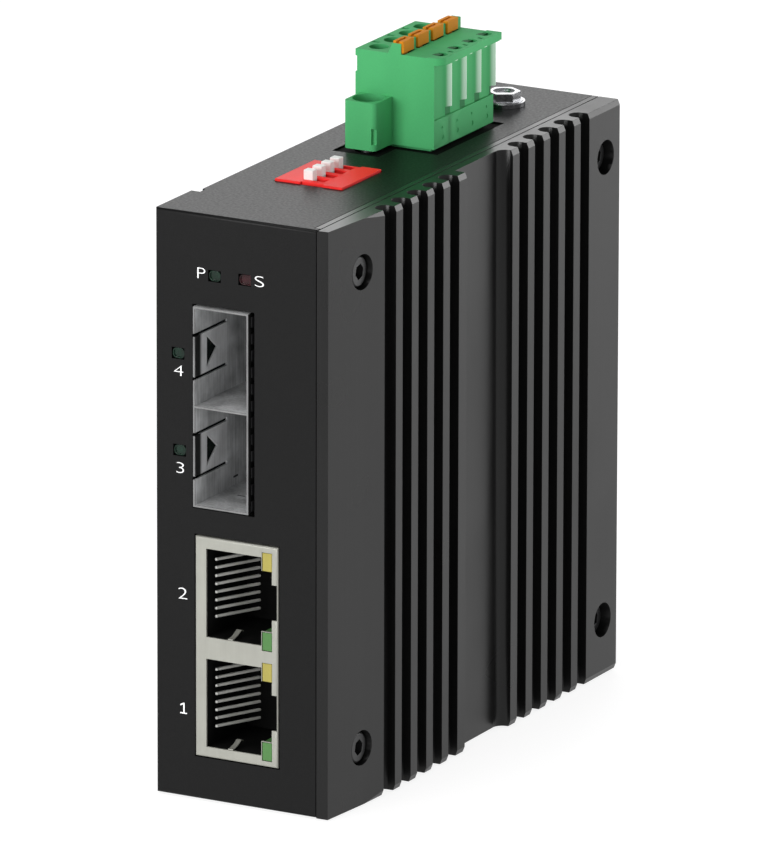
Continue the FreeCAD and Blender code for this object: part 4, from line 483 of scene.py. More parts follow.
@dataclass(frozen=True)
class CageSteel(Plated):
    """Blotchy cage sheet with painted shade on its front edges, right side, tongue lips and slots,
    and painted light on its tongues.
    """

    corner: Point = (0.0, 0.0, 0.0)
    front: float = -0.35
    edge: float = 0.12
    edge_share: float = 0.8
    # Painted shade on the front cut edges, which dims their reflection.
    edge_painted_shade: Colour = grey(0.1)
    # Painted shade right of the right wall, where the gap beside it lies in shade.
    right: float = 14.93
    right_start: float = -0.3
    right_painted_shade: Colour = grey(0.012)
    wall: float = 6.5
    tongues: Tuple[float, ...] = (49.975, 64.325)
    half_tongue: float = 2.95
    tongue_start: float = -0.2
    tongue_end: float = 8.9
    # Painted light on the tongues: a share of a pale grey over each.
    tongue_light_share: float = 0.4
    tongue_painted_light: Colour = (0.95, 0.95, 0.96)
    # Painted shade on each tongue's front lip, fading out towards the back.
    lip_end: float = 2.55
    lip_shade_fade: Range = (1.05, 1.8)
    lip_painted_shade: Colour = grey(0.008)
    # Painted shade where small punched slots are; the sheet is not cut.
    slots: Tuple[Tuple[Point, Point], ...] = (
        ((6.0, 10.7, 44.05), (6.6, 12.0, 44.35)), ((9.3, 6.6, 42.0), (10.5, 6.95, 43.0)))
    slot_painted_shade: Colour = grey(0.01)

    def tone(self, sheet: ShaderSheet, colour: Wire) -> Wire:
        """Paint shade on the front edges, right side, tongue lips and slots, and light on the
        tongues.

        Args:
            sheet: The sheet.
            colour: The plain steel's colour.

        Returns:
            The colour with them.
        """
        across, back = sheet.along(self.corner, Axis.X), sheet.along(self.corner, Axis.Y)
        # Painted shade along the front edges, which dims their reflection.
        cut = back.below(self.front + self.edge)
        colour = sheet.blend(cut * self.edge_share, colour, self.edge_painted_shade)
        # Painted shade: the sheet right of the right wall is darkened to read as the shaded gap.
        outside = across.above(self.right) * back.above(self.right_start)
        colour = sheet.blend(outside, colour, self.right_painted_shade)
        # How far back the painted shade on the tongue lips fades out.
        near = 1 - sheet.rise(back, *self.lip_shade_fade)
        for middle in self.tongues:
            start = (0, self.tongue_start, middle - self.half_tongue)
            high = middle + self.half_tongue
            tongue = sheet.within(self.corner, start, (self.wall, self.tongue_end, high))
            lip = sheet.within(self.corner, start, (self.wall, self.lip_end, high))
            # Painted light on the tongue.
            colour = sheet.blend(tongue * self.tongue_light_share, colour, self.tongue_painted_light)
            # Painted shade on the tongue's lip.
            colour = sheet.blend(lip * near, colour, self.lip_painted_shade)
        # Painted shade in the slots.
        for low, high in self.slots:
            colour = sheet.blend(sheet.within(self.corner, low, high), colour, self.slot_painted_shade)
        return colour


@dataclass(frozen=True)
class Moulded(Finish):
    """Moulded plastic with a fine grain and slight flow marks."""

    colour: Colour
    roughness: float
    level: float
    depth: float = 0.008
    grain: Pattern = Pattern(3600, 3, 0.6)
    flow: Pattern = Pattern(120, 2, 0.5, (1, 1, 0.4))
    dark: float = 0.88
    pale: float = 1.12
    lift: float = 0.006
    swing: Range = (-0.05, 0.06)
    strength: float = 0.7

    def paint(self, sheet: ShaderSheet) -> None:
        """Add the finish's nodes.

        Args:
            sheet: The empty sheet.
        """
        grain = sheet.noise(self.grain)
        marks = mean(sheet.noise(self.flow), grain, 0.7)
        colour = sheet.blend(sheet.spread(marks, 0, 1), scaled(self.colour, self.dark),
                             scaled(self.colour, self.pale, self.lift))
        rough = sheet.vary(grain, self.roughness, self.swing)
        sheet.surface(Base_Color=self.tone(sheet, colour), Roughness=rough,
                      Specular_IOR_Level=self.level,
                      Normal=sheet.bump(grain, self.depth, self.strength))


@dataclass(frozen=True)
class RibbedPlastic(Moulded):
    """Plug plastic with painted highlights on the ridges between the bays and painted shade at the
    bay starts, in the notches, down its holes and in its slots.
    """

    corner: Point = (0.0, 0.0, 0.0)
    first: float = 45.1
    poles: int = 4
    pitch: float = 4.38
    # Painted shade: at the start of each bay, in the notches and in the slots.
    painted_shade_green: Colour = (0.018, 0.15, 0.05)
    shade_fade: Range = (0.4, 2.6)
    shade_share: float = 0.3
    ridge_x: float = 19.46
    # Painted highlight where each ridge turns towards the front.
    ridge_highlight_fade: Range = (3.3, 4.15)
    ridge_z: Range = (90.75, 97.6)
    ridge_painted_highlight: Colour = (0.62, 0.86, 0.68)
    # Painted shade in the notch under each ridge.
    notch_x: float = 19.3
    notch_start: float = 3.3
    notch_length: float = 1.95
    notch_z: Range = (89.4, 90.75)
    notch_shade_share: float = 0.85
    # Painted shade inside the circle of each test hole, which is only partly cut.
    hole_x: float = 19.4
    hole_radius: float = 1.12
    hole_z: Range = (97.6, 98.54)
    hole_painted_shade: Colour = (0.016, 0.12, 0.04)
    # Painted shade in the small slots between the holes.
    slot_x: Range = (19.55, 20.45)
    slot_y: Range = (1.75, 2.45)

    def tone(self, sheet: ShaderSheet, colour: Wire) -> Wire:
        """Paint shade at the bay starts, highlights on the ridges, and shade in the notches, holes
        and slots.

        Args:
            sheet: The sheet.
            colour: The plain plastic's colour.

        Returns:
            The colour with them.
        """
        across, back, up = (sheet.along(self.corner, axis) for axis in Axis)
        bay = (back - self.first) % self.pitch
        end = self.first + self.pitch * self.poles
        side = across.above(self.ridge_x) * back.between(self.first, end)
        # Painted shade at the start of each bay, where the ridge before it shades it.
        shade = (1 - sheet.rise(bay, *self.shade_fade)) * side
        shade = shade * up.between(self.notch_z[0], self.ridge_z[1])
        colour = sheet.blend(shade * self.shade_share, colour, self.painted_shade_green)
        # Painted highlight on the ridge's curve towards the front.
        ridge_highlight = sheet.rise(bay, *self.ridge_highlight_fade) * side * up.between(*self.ridge_z)
        colour = sheet.blend(ridge_highlight, colour, self.ridge_painted_highlight)
        # Painted shade in the notch under each ridge.
        start = self.first + self.notch_start
        notch_shade = ((back - start) % self.pitch).below(self.notch_length) * back.above(start)
        notch_shade = notch_shade * across.above(self.notch_x) * up.between(*self.notch_z)
        colour = sheet.blend(notch_shade * self.notch_shade_share, colour, self.painted_shade_green)
        # Painted shade in the test holes.
        hollow = up.between(*self.hole_z)
        aside, offset = across - self.hole_x, bay - self.pitch / 2
        hole_shade = (aside * aside + offset * offset).below(self.hole_radius ** 2)
        colour = sheet.blend(hole_shade * hollow, colour, self.hole_painted_shade)
        # Painted shade in the slots.
        middle = self.first + self.pitch / 2
        slot = ((back - middle) % self.pitch).between(*self.slot_y) * back.above(middle)
        slot = slot * across.between(*self.slot_x) * hollow
        return sheet.blend(slot, colour, self.painted_shade_green)


@dataclass(frozen=True)
class Lens(Finish):
    """Tinted clear plastic over a lamp, with painted glints along vertical streaks."""

    colour: Colour
    clear: float
    # How much paler the painted glint streaks are than the tint.
    pale: float = 1.5
    level: float = 0.5
    dark: float = 0.6
    cloud: Pattern = Pattern(900)
    glint_streak: Pattern = Pattern(1500, 2, 0.5, (1, 1, 0.1))
    roughness: Range = (0.08, 0.2)
    bend: float = 1.5
    depth: float = 0.01
    strength: float = 0.5

    def paint(self, sheet: ShaderSheet) -> None:
        """Add the finish's nodes.

        Args:
            sheet: The empty sheet.
        """
        cloud = sheet.noise(self.cloud)
        # Painted glints: the tint turns paler along vertical streaks.
        marks = mean(cloud, sheet.noise(self.glint_streak), 0.5)
        colour = sheet.blend(sheet.spread(marks, 0, 1), scaled(self.colour, self.dark),
                             scaled(self.colour, self.pale))
        sheet.surface(Base_Color=colour, Roughness=sheet.spread(cloud, *self.roughness),
                      Transmission_Weight=self.clear, IOR=self.bend,
                      Specular_IOR_Level=self.level,
                      Normal=sheet.bump(cloud, self.depth, self.strength))


@dataclass(frozen=True)
class SolderMask(Finish):
    """Board with raised copper traces and plated pads under its mask."""

    colour: Colour = tint(5, 11, 8)
    trace: Colour = tint(8, 18, 12)
    pad: Colour = tint(60, 56, 40)
    pads_per_metre: float = 420.0
    pad_stretch: Point = (0.2, 1, 1)
    pad_size: float = 0.11
    pad_metallic: float = 0.9
    rows: Pattern = Pattern(900, 1, 0.4, (0.1, 0.08, 1))
    row_level: float = 0.55
    grain: Pattern = Pattern(3000)
    roughness: Range = (0.45, 0.6)
    level: float = 0.1
    depth: float = 0.03
    strength: float = 0.7

    def paint(self, sheet: ShaderSheet) -> None:
        """Add the finish's nodes.

        Args:
            sheet: The empty sheet.
        """
        cells = sheet.add("ShaderNodeTexVoronoi", {"distance": "MANHATTAN", "feature": "F1"}, {
            "Vector": sheet.stretched(self.pad_stretch), "Scale": self.pads_per_metre})
        copper = sheet.noise(self.rows).above(self.row_level)
        pads = cells.below(self.pad_size)
        colour = sheet.blend(copper, self.colour, self.trace)
        colour = sheet.blend(pads, colour, self.pad)
        rough = sheet.spread(sheet.noise(self.grain), *self.roughness)
        sheet.surface(Base_Color=colour, Roughness=rough, Metallic=pads * self.pad_metallic,
                      Specular_IOR_Level=self.level,
                      Normal=sheet.bump(copper + pads, self.depth, self.strength))


@dataclass(frozen=True)
class Floor(Finish):
    """Plain pale studio floor, lit from underneath."""

    colour: Colour = grey(0.25)
    cloudy: Colour = grey(0.24)
    cloud: Pattern = Pattern(6)
    cloud_share: float = 0.15
    roughness: Range = (0.6, 0.7)
    level: float = 0.1
    glow: float = 0.85

    def paint(self, sheet: ShaderSheet) -> None:
        """Add the finish's nodes.

        Args:
            sheet: The empty sheet.
        """
        cloud = sheet.noise(self.cloud)
        colour = sheet.blend(sheet.spread(cloud, 0, self.cloud_share), self.colour, self.cloudy)
        sheet.surface(Base_Color=colour, Roughness=sheet.spread(cloud, *self.roughness),
                      Specular_IOR_Level=self.level, Emission_Color=WHITE,
                      Emission_Strength=self.glow)


# The stretch of a pattern that runs in no direction.
EVEN: Point = (1, 1, 1)

# The finish of each of the record's material slots.
SLOT_FINISHES: Dict[str, Finish] = {
    "shell_paint": PowderCoat((0.003, 0.003, 0.0031), 0.4, 0.15),
    "sink_aluminium": Anodised(grey(0.003), 0.3, 0.25),
    "dark_screws": Plated(tint(40, 40, 41), 0.4, 0.5, EVEN),
    "plain_steel": Plated(tint(196, 198, 200), 0.28),
    "chrome": Plated(tint(196, 197, 200), 0.2, 1.0, EVEN, 0.002, 0.35),
    "board": SolderMask(),
    "cage_steel": Plated(tint(196, 197, 198), 0.5, 0.35, (1, 0.02, 1)),
    "black_plastic": Moulded(tint(14, 14, 15), 0.5, 0.25),
    "jack_steel": Plated(tint(160, 160, 152), 0.45, 0.5, (1, 1, 0.04), 0.003, 0.86),
    "contact_gold": Plated(tint(206, 206, 202), 0.42, 0.4),
    "lamp_green": Moulded((0.075, 0.2, 0.058), 0.5, 0.2),
    "lamp_yellow": Moulded((0.36, 0.31, 0.072), 0.5, 0.2),
    "clear_pipe": Lens(tint(150, 165, 155), 0.7),
    "switch_red": Moulded((0.88, 0.012, 0.01), 0.5, 0.3),
    "knob_white": Moulded(tint(228, 228, 226), 0.5, 0.3),
    "plug_green": Moulded((0.059, 0.385, 0.133), 0.72, 0.25),
    "lever_orange": Moulded((0.62, 0.22, 0.004), 0.7, 0.15),
    "bare_aluminium": Plated(tint(205, 206, 208), 0.35),
    "pad_grey": Moulded(tint(150, 152, 160), 0.8, 0.2),
    "clip_metal": Plated(tint(172, 172, 174), 0.45, 1.0, EVEN, 0.012),
    "spring_steel": Plated(tint(190, 190, 194), 0.25),
}


class FinishShelf:
    """Materials made once for each slot or name."""

    def __init__(self) -> None:
        """Start with no materials."""
        self._made: Dict[str, bpy.types.Material] = {}

    def get(self, name: str, finish: Optional[Finish] = None) -> bpy.types.Material:
        """Material of a slot, or of a finish kept under a name.

        Args:
            name: The slot's or finish's name.
            finish: The finish, if the name isn't a slot.

        Returns:
            The material.
        """
        if name not in self._made:
            self._made[name] = (finish or SLOT_FINISHES[name]).build(name)
        return self._made[name]

    def dress(self, piece: bpy.types.Object, name: str, finish: Optional[Finish] = None) -> None:
        """Give a piece one material."""
        piece.data.materials.clear()
        piece.data.materials.append(self.get(name, finish))


# ---------------------------------------------------------------- modelling
def round_edges(piece: bpy.types.Object, width: float, segments: int, angle: float) -> None:
    """Put a live rounding of the sharp edges on a piece.

    Args:
        piece: The piece.
        width: Width of the rounding.
        segments: Number of steps.
        angle: Edges sharper than this are rounded, in degrees.
    """
    bevel = piece.modifiers.new("edges", "BEVEL")
    bevel.width = width * MM
    bevel.segments = segments
    bevel.limit_method = "ANGLE"
    bevel.angle_limit = math.radians(angle)
    bevel.harden_normals = True


class Bench:
    """Modelling steps on one mesh, in millimetres from the panel's corner."""

    def __init__(self, corner: Vector, shelf: FinishShelf) -> None:
        """Keep the housing's corner.

        Args:
            corner: Lower left corner of the front panel, in metres.
            shelf: The materials.
        """
        self.corner = corner
        self.shelf = shelf

    def at(self, x: float, y: float, z: float) -> Vector:
        """A place on the housing in metres."""
        return self.corner + Vector((x, y, z)) * MM

    def node_box(self, node: str) -> Tuple[Vector, Vector]:
        """A solid's lowest and highest corners in millimetres from the panel's corner."""
        low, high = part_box(node)
        return (low - self.corner) / MM, (high - self.corner) / MM

    @staticmethod
    def clear() -> None:
        """Go back to object mode with nothing selected."""
        if bpy.context.mode != "OBJECT":
            bpy.ops.object.mode_set(mode="OBJECT")
        bpy.ops.object.select_all(action="DESELECT")

    def take(self, piece: bpy.types.Object) -> None:
        """Select one piece and make it the active one.

        Args:
            piece: The piece.
        """
        self.clear()
        piece.select_set(True)
        bpy.context.view_layer.objects.active = piece

    @staticmethod
    def settle() -> None:
        """Put the selected piece's place, turn and scale into its mesh."""
        bpy.ops.object.transform_apply(location=True, rotation=True, scale=True)

    def _keep(self, name: str) -> bpy.types.Object:
        """Name the new primitive and settle it.

        Args:
            name: The piece's name.

        Returns:
            The piece.
        """
        piece = bpy.context.object
        piece.name = piece.data.name = name
        self.settle()
        return piece

    def block(self, name: str, low: Point, high: Point) -> bpy.types.Object:
        """A box.

        Args:
            name: The piece's name.
            low: One corner.
            high: The opposite corner.

        Returns:
            The piece.
        """
        self.clear()
        middle = self.at(*((a + b) / 2 for a, b in zip(low, high)))
        bpy.ops.mesh.primitive_cube_add(size=1, location=middle)
        bpy.context.object.scale = [abs(b - a) * MM for a, b in zip(low, high)]
        return self._keep(name)

    def bar(self, name: str, radius: float, length: float, start: Point, axis: Axis,
            sides: int) -> bpy.types.Object:
        """A round or many-sided bar.

        Args:
            name: The piece's name.
            radius: Radius of its corners.
            length: Length.
            start: Middle of its first end.
            axis: Direction.
            sides: Number of sides.

        Returns:
            The piece.
        """
        self.clear()
        bpy.ops.mesh.primitive_cylinder_add(vertices=sides, radius=radius * MM, depth=length * MM)
        step = Vector((axis is Axis.X, axis is Axis.Y, axis is Axis.Z)) * (length / 2 * MM)
        lie = {Axis.X: Matrix.Rotation(math.pi / 2, 4, "Y"),
               Axis.Y: Matrix.Rotation(-math.pi / 2, 4, "X"),
               Axis.Z: Matrix.Identity(4)}[axis]
        bpy.context.object.matrix_world = Matrix.Translation(self.at(*start) + step) @ lie
        return self._keep(name)

    def pick(self, piece: bpy.types.Object, test: Callable[[Vector, Vector], bool],
             kind: str = "FACE") -> None:
        """Go into edit mode with the faces or edges that pass a test.

        Args:
            piece: The piece.
            test: Takes a middle in millimetres and a normal or direction.
            kind: FACE or EDGE.
        """
        self.take(piece)
        bpy.ops.object.mode_set(mode="EDIT")
        bpy.ops.mesh.select_mode(type=kind)
        bpy.ops.mesh.select_all(action="DESELECT")
        shape = bmesh.from_edit_mesh(piece.data)
        shape.normal_update()
        if kind == "FACE":
            for face in shape.faces:
                middle = face.calc_center_median()
                face.select_set(test((middle - self.corner) / MM, face.normal))
        else:
            for edge in shape.edges:
                first, second = (v.co for v in edge.verts)
                middle, run = (first + second) / 2, (second - first).normalized()
                edge.select_set(test((middle - self.corner) / MM, run))
        bmesh.update_edit_mesh(piece.data)

    @staticmethod
    def inset(thickness: float) -> None:
        """Inset the selected faces."""
        bpy.ops.mesh.inset(thickness=thickness * MM, depth=0)

    @staticmethod
    def push(step: Point) -> None:
        """Extrude the selected faces by a step."""
        bpy.ops.mesh.extrude_region_move(
            TRANSFORM_OT_translate={"value": tuple(s * MM for s in step)})

    @staticmethod
    def round_off(width: float, segments: int) -> None:
        """Bevel what is selected."""
        bpy.ops.mesh.bevel(offset=width * MM, segments=segments, profile=0.5)

    def finish_edges(self, piece: bpy.types.Object, width: float, segments: int = 2,
                     angle: float = 30) -> None:
        """Round a new piece's sharp edges and smooth its curves.

        Args:
            piece: The piece.
            width: Width of the rounding.
            segments: Number of steps.
            angle: Edges sharper than this are rounded, in degrees.
        """
        self.take(piece)
        bpy.ops.object.shade_smooth()
        round_edges(piece, width, segments, angle)
        bpy.ops.object.modifier_apply(modifier="edges")

    def plain_normals(self, piece: bpy.types.Object) -> None:
        """Take a piece and drop the normals that are kept with its mesh.

        Args:
            piece: The piece.
        """
        self.take(piece)
        if piece.data.has_custom_normals:
            bpy.ops.mesh.customdata_custom_splitnormals_clear()

    def even_out(self, piece: bpy.types.Object, angle: float) -> None:
        """Shade a piece smooth up to an angle, with its large faces flat.

        Args:
            piece: The piece.
            angle: Edges sharper than this stay sharp, in degrees.
        """
        self.plain_normals(piece)
        bpy.ops.object.shade_smooth_by_angle(angle=math.radians(angle))
        flat = piece.modifiers.new("flat", "WEIGHTED_NORMAL")
        flat.weight = 100
        flat.keep_sharp = True
        bpy.ops.object.modifier_apply(modifier="flat")

    def combine(self, piece: bpy.types.Object, other: bpy.types.Object, operation: str) -> None:
        """Join, cut or keep the overlap with another piece, which is used up.

        Args:
            piece: The piece that stays.
            other: The piece that is used up.
            operation: UNION, DIFFERENCE or INTERSECT.
        """
        self.take(piece)
        cut = piece.modifiers.new("cut", "BOOLEAN")
        cut.operation = operation
        cut.solver = "EXACT"
        cut.object = other
        bpy.ops.object.modifier_apply(modifier="cut")
        bpy.data.objects.remove(other, do_unlink=True)

    @staticmethod
    def copy(piece: bpy.types.Object, name: str, step: Point = (0, 0, 0)) -> bpy.types.Object:
        """A copy with its own mesh.

        Args:
            piece: The piece.
            name: The copy's name.
            step: How far it is moved.

        Returns:
            The copy.
        """
        twin = piece.copy()
        twin.data = piece.data.copy()
        twin.name = twin.data.name = name
        twin.data.transform(Matrix.Translation(Vector(step) * MM))
        bpy.context.scene.collection.objects.link(twin)
        return twin

    def solid_copy(self, node: bpy.types.Object, name: str) -> bpy.types.Object:
        """A merged copy of a solid's mesh, with flat areas in one face.

        Args:
            node: The solid.
            name: The new piece's name.

        Returns:
            The new piece.
        """
        twin = self.copy(node, name)
        for key in list(twin.keys()):
            del twin[key]
        twin.parent = None
        twin.hide_render = twin.hide_viewport = False
        self.plain_normals(twin)
        self.pick(twin, lambda middle, normal: True)
        bpy.ops.mesh.remove_doubles(threshold=WELD_DISTANCE)
        bpy.ops.mesh.dissolve_limited(angle_limit=FLAT_ANGLE)
        self.clear()
        return twin

    def fit(self, piece: bpy.types.Object, body: str, slot: str, *replaced: str,
            finish: Optional[Finish] = None, look: Optional[str] = None) -> None:
        """Dress a finished piece and tie it to its body.

        Args:
            piece: The piece.
            body: The body it rides on.
            slot: The record's slot it takes its finish from.
            *replaced: Solids that it stands for.
            finish: A finish of its own.
            look: Name of that finish.
        """
        self.clear()
        self.shelf.dress(piece, look or slot, finish)
        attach(piece, body)
        if replaced:
            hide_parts(*replaced)
        LOG.info("%s: %d faces, rides on %s", piece.name, len(piece.data.polygons), body)


# ---------------------------------------------------------------- carried-over solids
@dataclass
class Solids:
    """The solids that stay, with their finishes and softened edges."""

    bench: Bench
    nodes: Dict[str, bpy.types.Object]
    record: Dict[str, Any]
    edge_widths: Dict[str, float] = field(default_factory=lambda: {
        "main_shell": 0.12, "left_rear_cover": 0.1, "heat_sink_cover": 0.12, "sfp_cage": 0.06,
        "jack_shield": 0.05, "switch_cover": 0.06, "terminal_header": 0.08,
        "clip_plate": 0.25, "rail_latch": 0.2, "side_screws": 0.08, "cover_screws": 0.06,
        "jack_lamps_green": 0.08, "jack_lamps_yellow": 0.08, "line_transformer": 0.1,
        "converter_chip": 0.08, "heat_spreader": 0.1})
    knob_edge: float = 0.1
    edge_angle: float = 35
    header: Moulded = Moulded(grey(0.002), 0.8, 0.06)
    # Spring fingers in dark steel, as painted shade in the gap beside the cage.
    shaded_fingers: Plated = Plated(tint(52, 52, 54), 0.5, 0.6, EVEN, 0.004, 0.5)
    bay_lining: Moulded = Moulded(grey(0.0025), 0.7, 0.08)
    cage: CageSteel = CageSteel(tint(226, 227, 228), 0.5, 0.35, (1, 1, 0.06), 0.003, 0.32)

    def dress(self) -> None:
        """Give every solid its slot's material, and four of them one of their own."""
        dress = self.bench.shelf.dress
        for part in self.record["subparts"]:
            dress(self.nodes[part["node"]], part["material_slot"])
        cage = replace(self.cage, corner=tuple(self.bench.corner))
        dress(self.nodes["terminal_header"], "header_black", self.header)
        # Painted shade: the spring fingers get a dark copy of the cage steel.
        dress(self.nodes["sfp_spring_fingers"], "finger_steel", self.shaded_fingers)
        dress(self.nodes["jack_body"], "bay_black", self.bay_lining)
        dress(self.nodes["sfp_cage"], "cage_sheet", cage)
        LOG.info("dressed %d solids", len(self.record["subparts"]))

    def soften(self) -> None:
        """Round the sharp edges with live modifiers, so that the meshes stay as they are."""
        widths = dict(self.edge_widths)
        for name in self.nodes:
            if name.startswith("switch_slider"):
                widths[name] = self.knob_edge
        for name, width in widths.items():
            node = self.nodes[name]
            weld = node.modifiers.new("weld", "WELD")
            weld.merge_threshold = WELD_DISTANCE
            flat = node.modifiers.new("flat", "DECIMATE")
            flat.decimate_type = "DISSOLVE"
            flat.angle_limit = FLAT_ANGLE
            round_edges(node, width, 2, self.edge_angle)
            LOG.info("%s: edges rounded by %.2f mm", name, width)


# ---------------------------------------------------------------- new pieces
@dataclass
class FrontMarks:
    """Painted marks on the front panel: lamp letters and port numbers."""

    bench: Bench
    thickness: float = 0.02
    thinning: float = -0.018
    paint: Moulded = Moulded(tint(248, 248, 248), 0.5, 0.4, 0.002)
    letters: Tuple[Tuple[str, str, Range, Range], ...] = (
        ("power_mark", "P", (6.73, 7.98), (75.73, 77.26)),
        ("status_mark", "S", (15.78, 17.28), (75.75, 77.28)),
        ("port_4_mark", "4", (2.97, 4.44), (61.23, 62.75)),
        ("port_3_mark", "3", (3.28, 4.55), (47.16, 48.71)),
        ("port_2_mark", "2", (3.59, 5.02), (28.87, 30.51)))
    one_x: Range = (3.87, 4.94)
    one_z: Range = (12.13, 13.73)
    stroke: float = 0.2
    stem_shift: float = 0.06
    foot: float = 0.17
    flag: float = 0.24
    flag_gap: float = 0.01
    flag_drop: float = 0.23
    flag_inset: float = 0.02

    def build(self) -> None:
        """Make each mark as a shallow raised shape on the panel."""
        for name, letter, across, up in self.letters:
            self._letter(name, letter, across, up)
        self._one()

    def _letter(self, name: str, letter: str, across: Range, up: Range) -> None:
        """Stand a plain letter on the panel.

        Args:
            name: The piece's name.
            letter: The letter or number.
            across: Its left and right ends.
            up: Its lower and upper ends.
        """
        self.bench.clear()
        bpy.ops.object.text_add()
        text = bpy.context.object
        text.data.body = letter
        text.data.extrude = self.thickness  # The letter is brought to size below.
        text.data.offset = self.thinning
        bpy.ops.object.convert(target="MESH")
        mark = bpy.context.object
        corners = [Vector(c) for c in mark.bound_box]
        low = Vector(min(c[i] for c in corners) for i in range(3))
        size = Vector(max(c[i] for c in corners) for i in range(3)) - low
        scale = Matrix.Diagonal(((across[1] - across[0]) * MM / size.x,
                                 (up[1] - up[0]) * MM / size.y,
                                 self.thickness * MM / size.z, 1))
        stand = Matrix.Rotation(math.pi / 2, 4, "X")
        start = Matrix.Translation(self.bench.at(across[0], 0, up[0]))
        mark.matrix_world = start @ stand @ scale @ Matrix.Translation(-low)
        self.bench.settle()
        mark.name = mark.data.name = name
        self._paint(mark)

    def _one(self) -> None:
        """Draw the first port's number with a stem, a foot and a flag."""
        (left, right), (bottom, top) = self.one_x, self.one_z
        middle = (left + right) / 2 + self.stem_shift
        half, front = self.stroke / 2, -self.thickness
        mark = self.bench.block("port_1_mark", (middle - half, front, bottom),
                                (middle + half, 0, top))
        foot = self.bench.block("foot", (left, front, bottom), (right, 0, bottom + self.foot))
        self.bench.combine(mark, foot, "UNION")
        flag = self.bench.block("flag", (middle - half, front, top - self.flag),
                                (middle, 0, top - self.flag_gap))
        self.bench.pick(flag, lambda m, n: n.x < -ALONG)
        self.bench.push((left + half - middle + self.flag_inset, 0, -self.flag_drop))
        self.bench.combine(mark, flag, "UNION")
        self._paint(mark)

    def _paint(self, mark: bpy.types.Object) -> None:
        """Fit a finished mark to the housing."""
        self.bench.fit(mark, "housing", "knob_white", finish=self.paint, look="mark_paint")


@dataclass
class LightWindows:
    """Light pipes whose dished ends are the lamp windows of the front panel."""

    bench: Bench
    rounding: float = 0.62
    head: float = 2.2
    face: float = 0.05
    rim: float = 0.16
    dish: float = 0.22
    edge: float = 0.04
    clear: float = 0.1
    # Painted glints on the lenses: streaks this many times paler than the tint.
    pale: float = 4.0
    level: float = 0.25
    windows: Tuple[Tuple[str, Colour], ...] = (
        ("power", (0.0015, 0.0085, 0.0045)), ("status", (0.014, 0.002, 0.003)),
        ("port_4", (0.0015, 0.008, 0.0045)), ("port_3", (0.0015, 0.008, 0.0045)))

    def build(self) -> None:
        """Round each pipe's head and dish its face."""
        for name, colour in self.windows:
            node = f"light_pipe_{name}"
            front = self.bench.node_box(node)[0].y
            pipe = self.bench.solid_copy(bpy.data.objects[node], f"{name}_window")
            self.bench.pick(
                pipe, lambda m, d: abs(d.y) > ALONG and m.y < front + self.head, "EDGE")
            self.bench.round_off(self.rounding, 6)
            self.bench.pick(pipe, lambda m, n: n.y < -ALONG and m.y < front + self.face)
            self.bench.inset(self.rim)
            self.bench.push((0, self.dish, 0))
            self.bench.inset(self.rim)
            self.bench.finish_edges(pipe, self.edge)
            self.bench.fit(pipe, "housing", "clear_pipe", node, look=f"{name}_lens",
                           finish=Lens(colour, self.clear, self.pale, self.level))


@dataclass
class ContactWires:
    """Sprung contact wires in both bays of the network jack."""

    bench: Bench
    bays: int = 2
    per_bay: int = 8
    pitch: float = 1.186
    size: float = 0.42
    inset: float = 0.45
    tip: float = 0.25
    run: Range = (3.35, 6.35)
    edge: float = 0.13
    edge_angle: float = 25

    def build(self) -> None:
        """Model one wire and copy it to every place."""
        low, high = self.bench.node_box("jack_contacts")
        x, half = low.x + self.inset, self.size / 2
        rows = [low.z + half + i * self.pitch for i in range(self.per_bay)]
        bay_step = high.z - half - (self.per_bay - 1) * self.pitch - rows[0]
        wire = self.bench.block("contact_wire_1_1", (x, low.y, rows[0] - half),
                                (x + self.size, low.y + self.tip, rows[0] + half))
        self.bench.pick(wire, lambda m, n: n.y > ALONG)
        self.bench.push((self.run[0], self.run[1], 0))
        self.bench.finish_edges(wire, self.edge, 3, self.edge_angle)
        wires = [wire]
        for bay in range(self.bays):
            for i, z in enumerate(rows):
                if bay or i:
                    wires.append(self.bench.copy(wire, f"contact_wire_{bay + 1}_{i + 1}",
                                                 (0, 0, z - rows[0] + bay * bay_step)))
        for piece in wires:
            self.bench.fit(piece, "housing", "contact_gold", "jack_contacts")


@dataclass
class GroundTabs:
    """Spring tabs bent into the jack's bays from the shield."""

    bench: Bench
    x: float = 11.6
    start: Range = (0.05, 0.5)
    width: float = 0.8
    thickness: float = 0.18
    bends: Tuple[Range, ...] = ((1.05, 0.25), (1.05, 0.5), (0.6, -0.2))
    floors: Range = (7.95, 24.0)
    edge: float = 0.05

    def build(self) -> None:
        """Make a bent tab in each bay."""
        front = self.bench.node_box("jack_shield")[0].y
        for i, z in enumerate(self.floors):
            tab = self.bench.block(f"ground_tab_{i + 1}", (self.x, front + self.start[0], z),
                                   (self.x + self.width, front + self.start[1],
                                    z + self.thickness))
            self.bench.pick(tab, lambda m, n: n.y > ALONG)
            for run, rise in self.bends:
                self.bench.push((0, run, rise))
            self.bench.finish_edges(tab, self.edge)
            self.bench.fit(tab, "housing", "jack_steel")


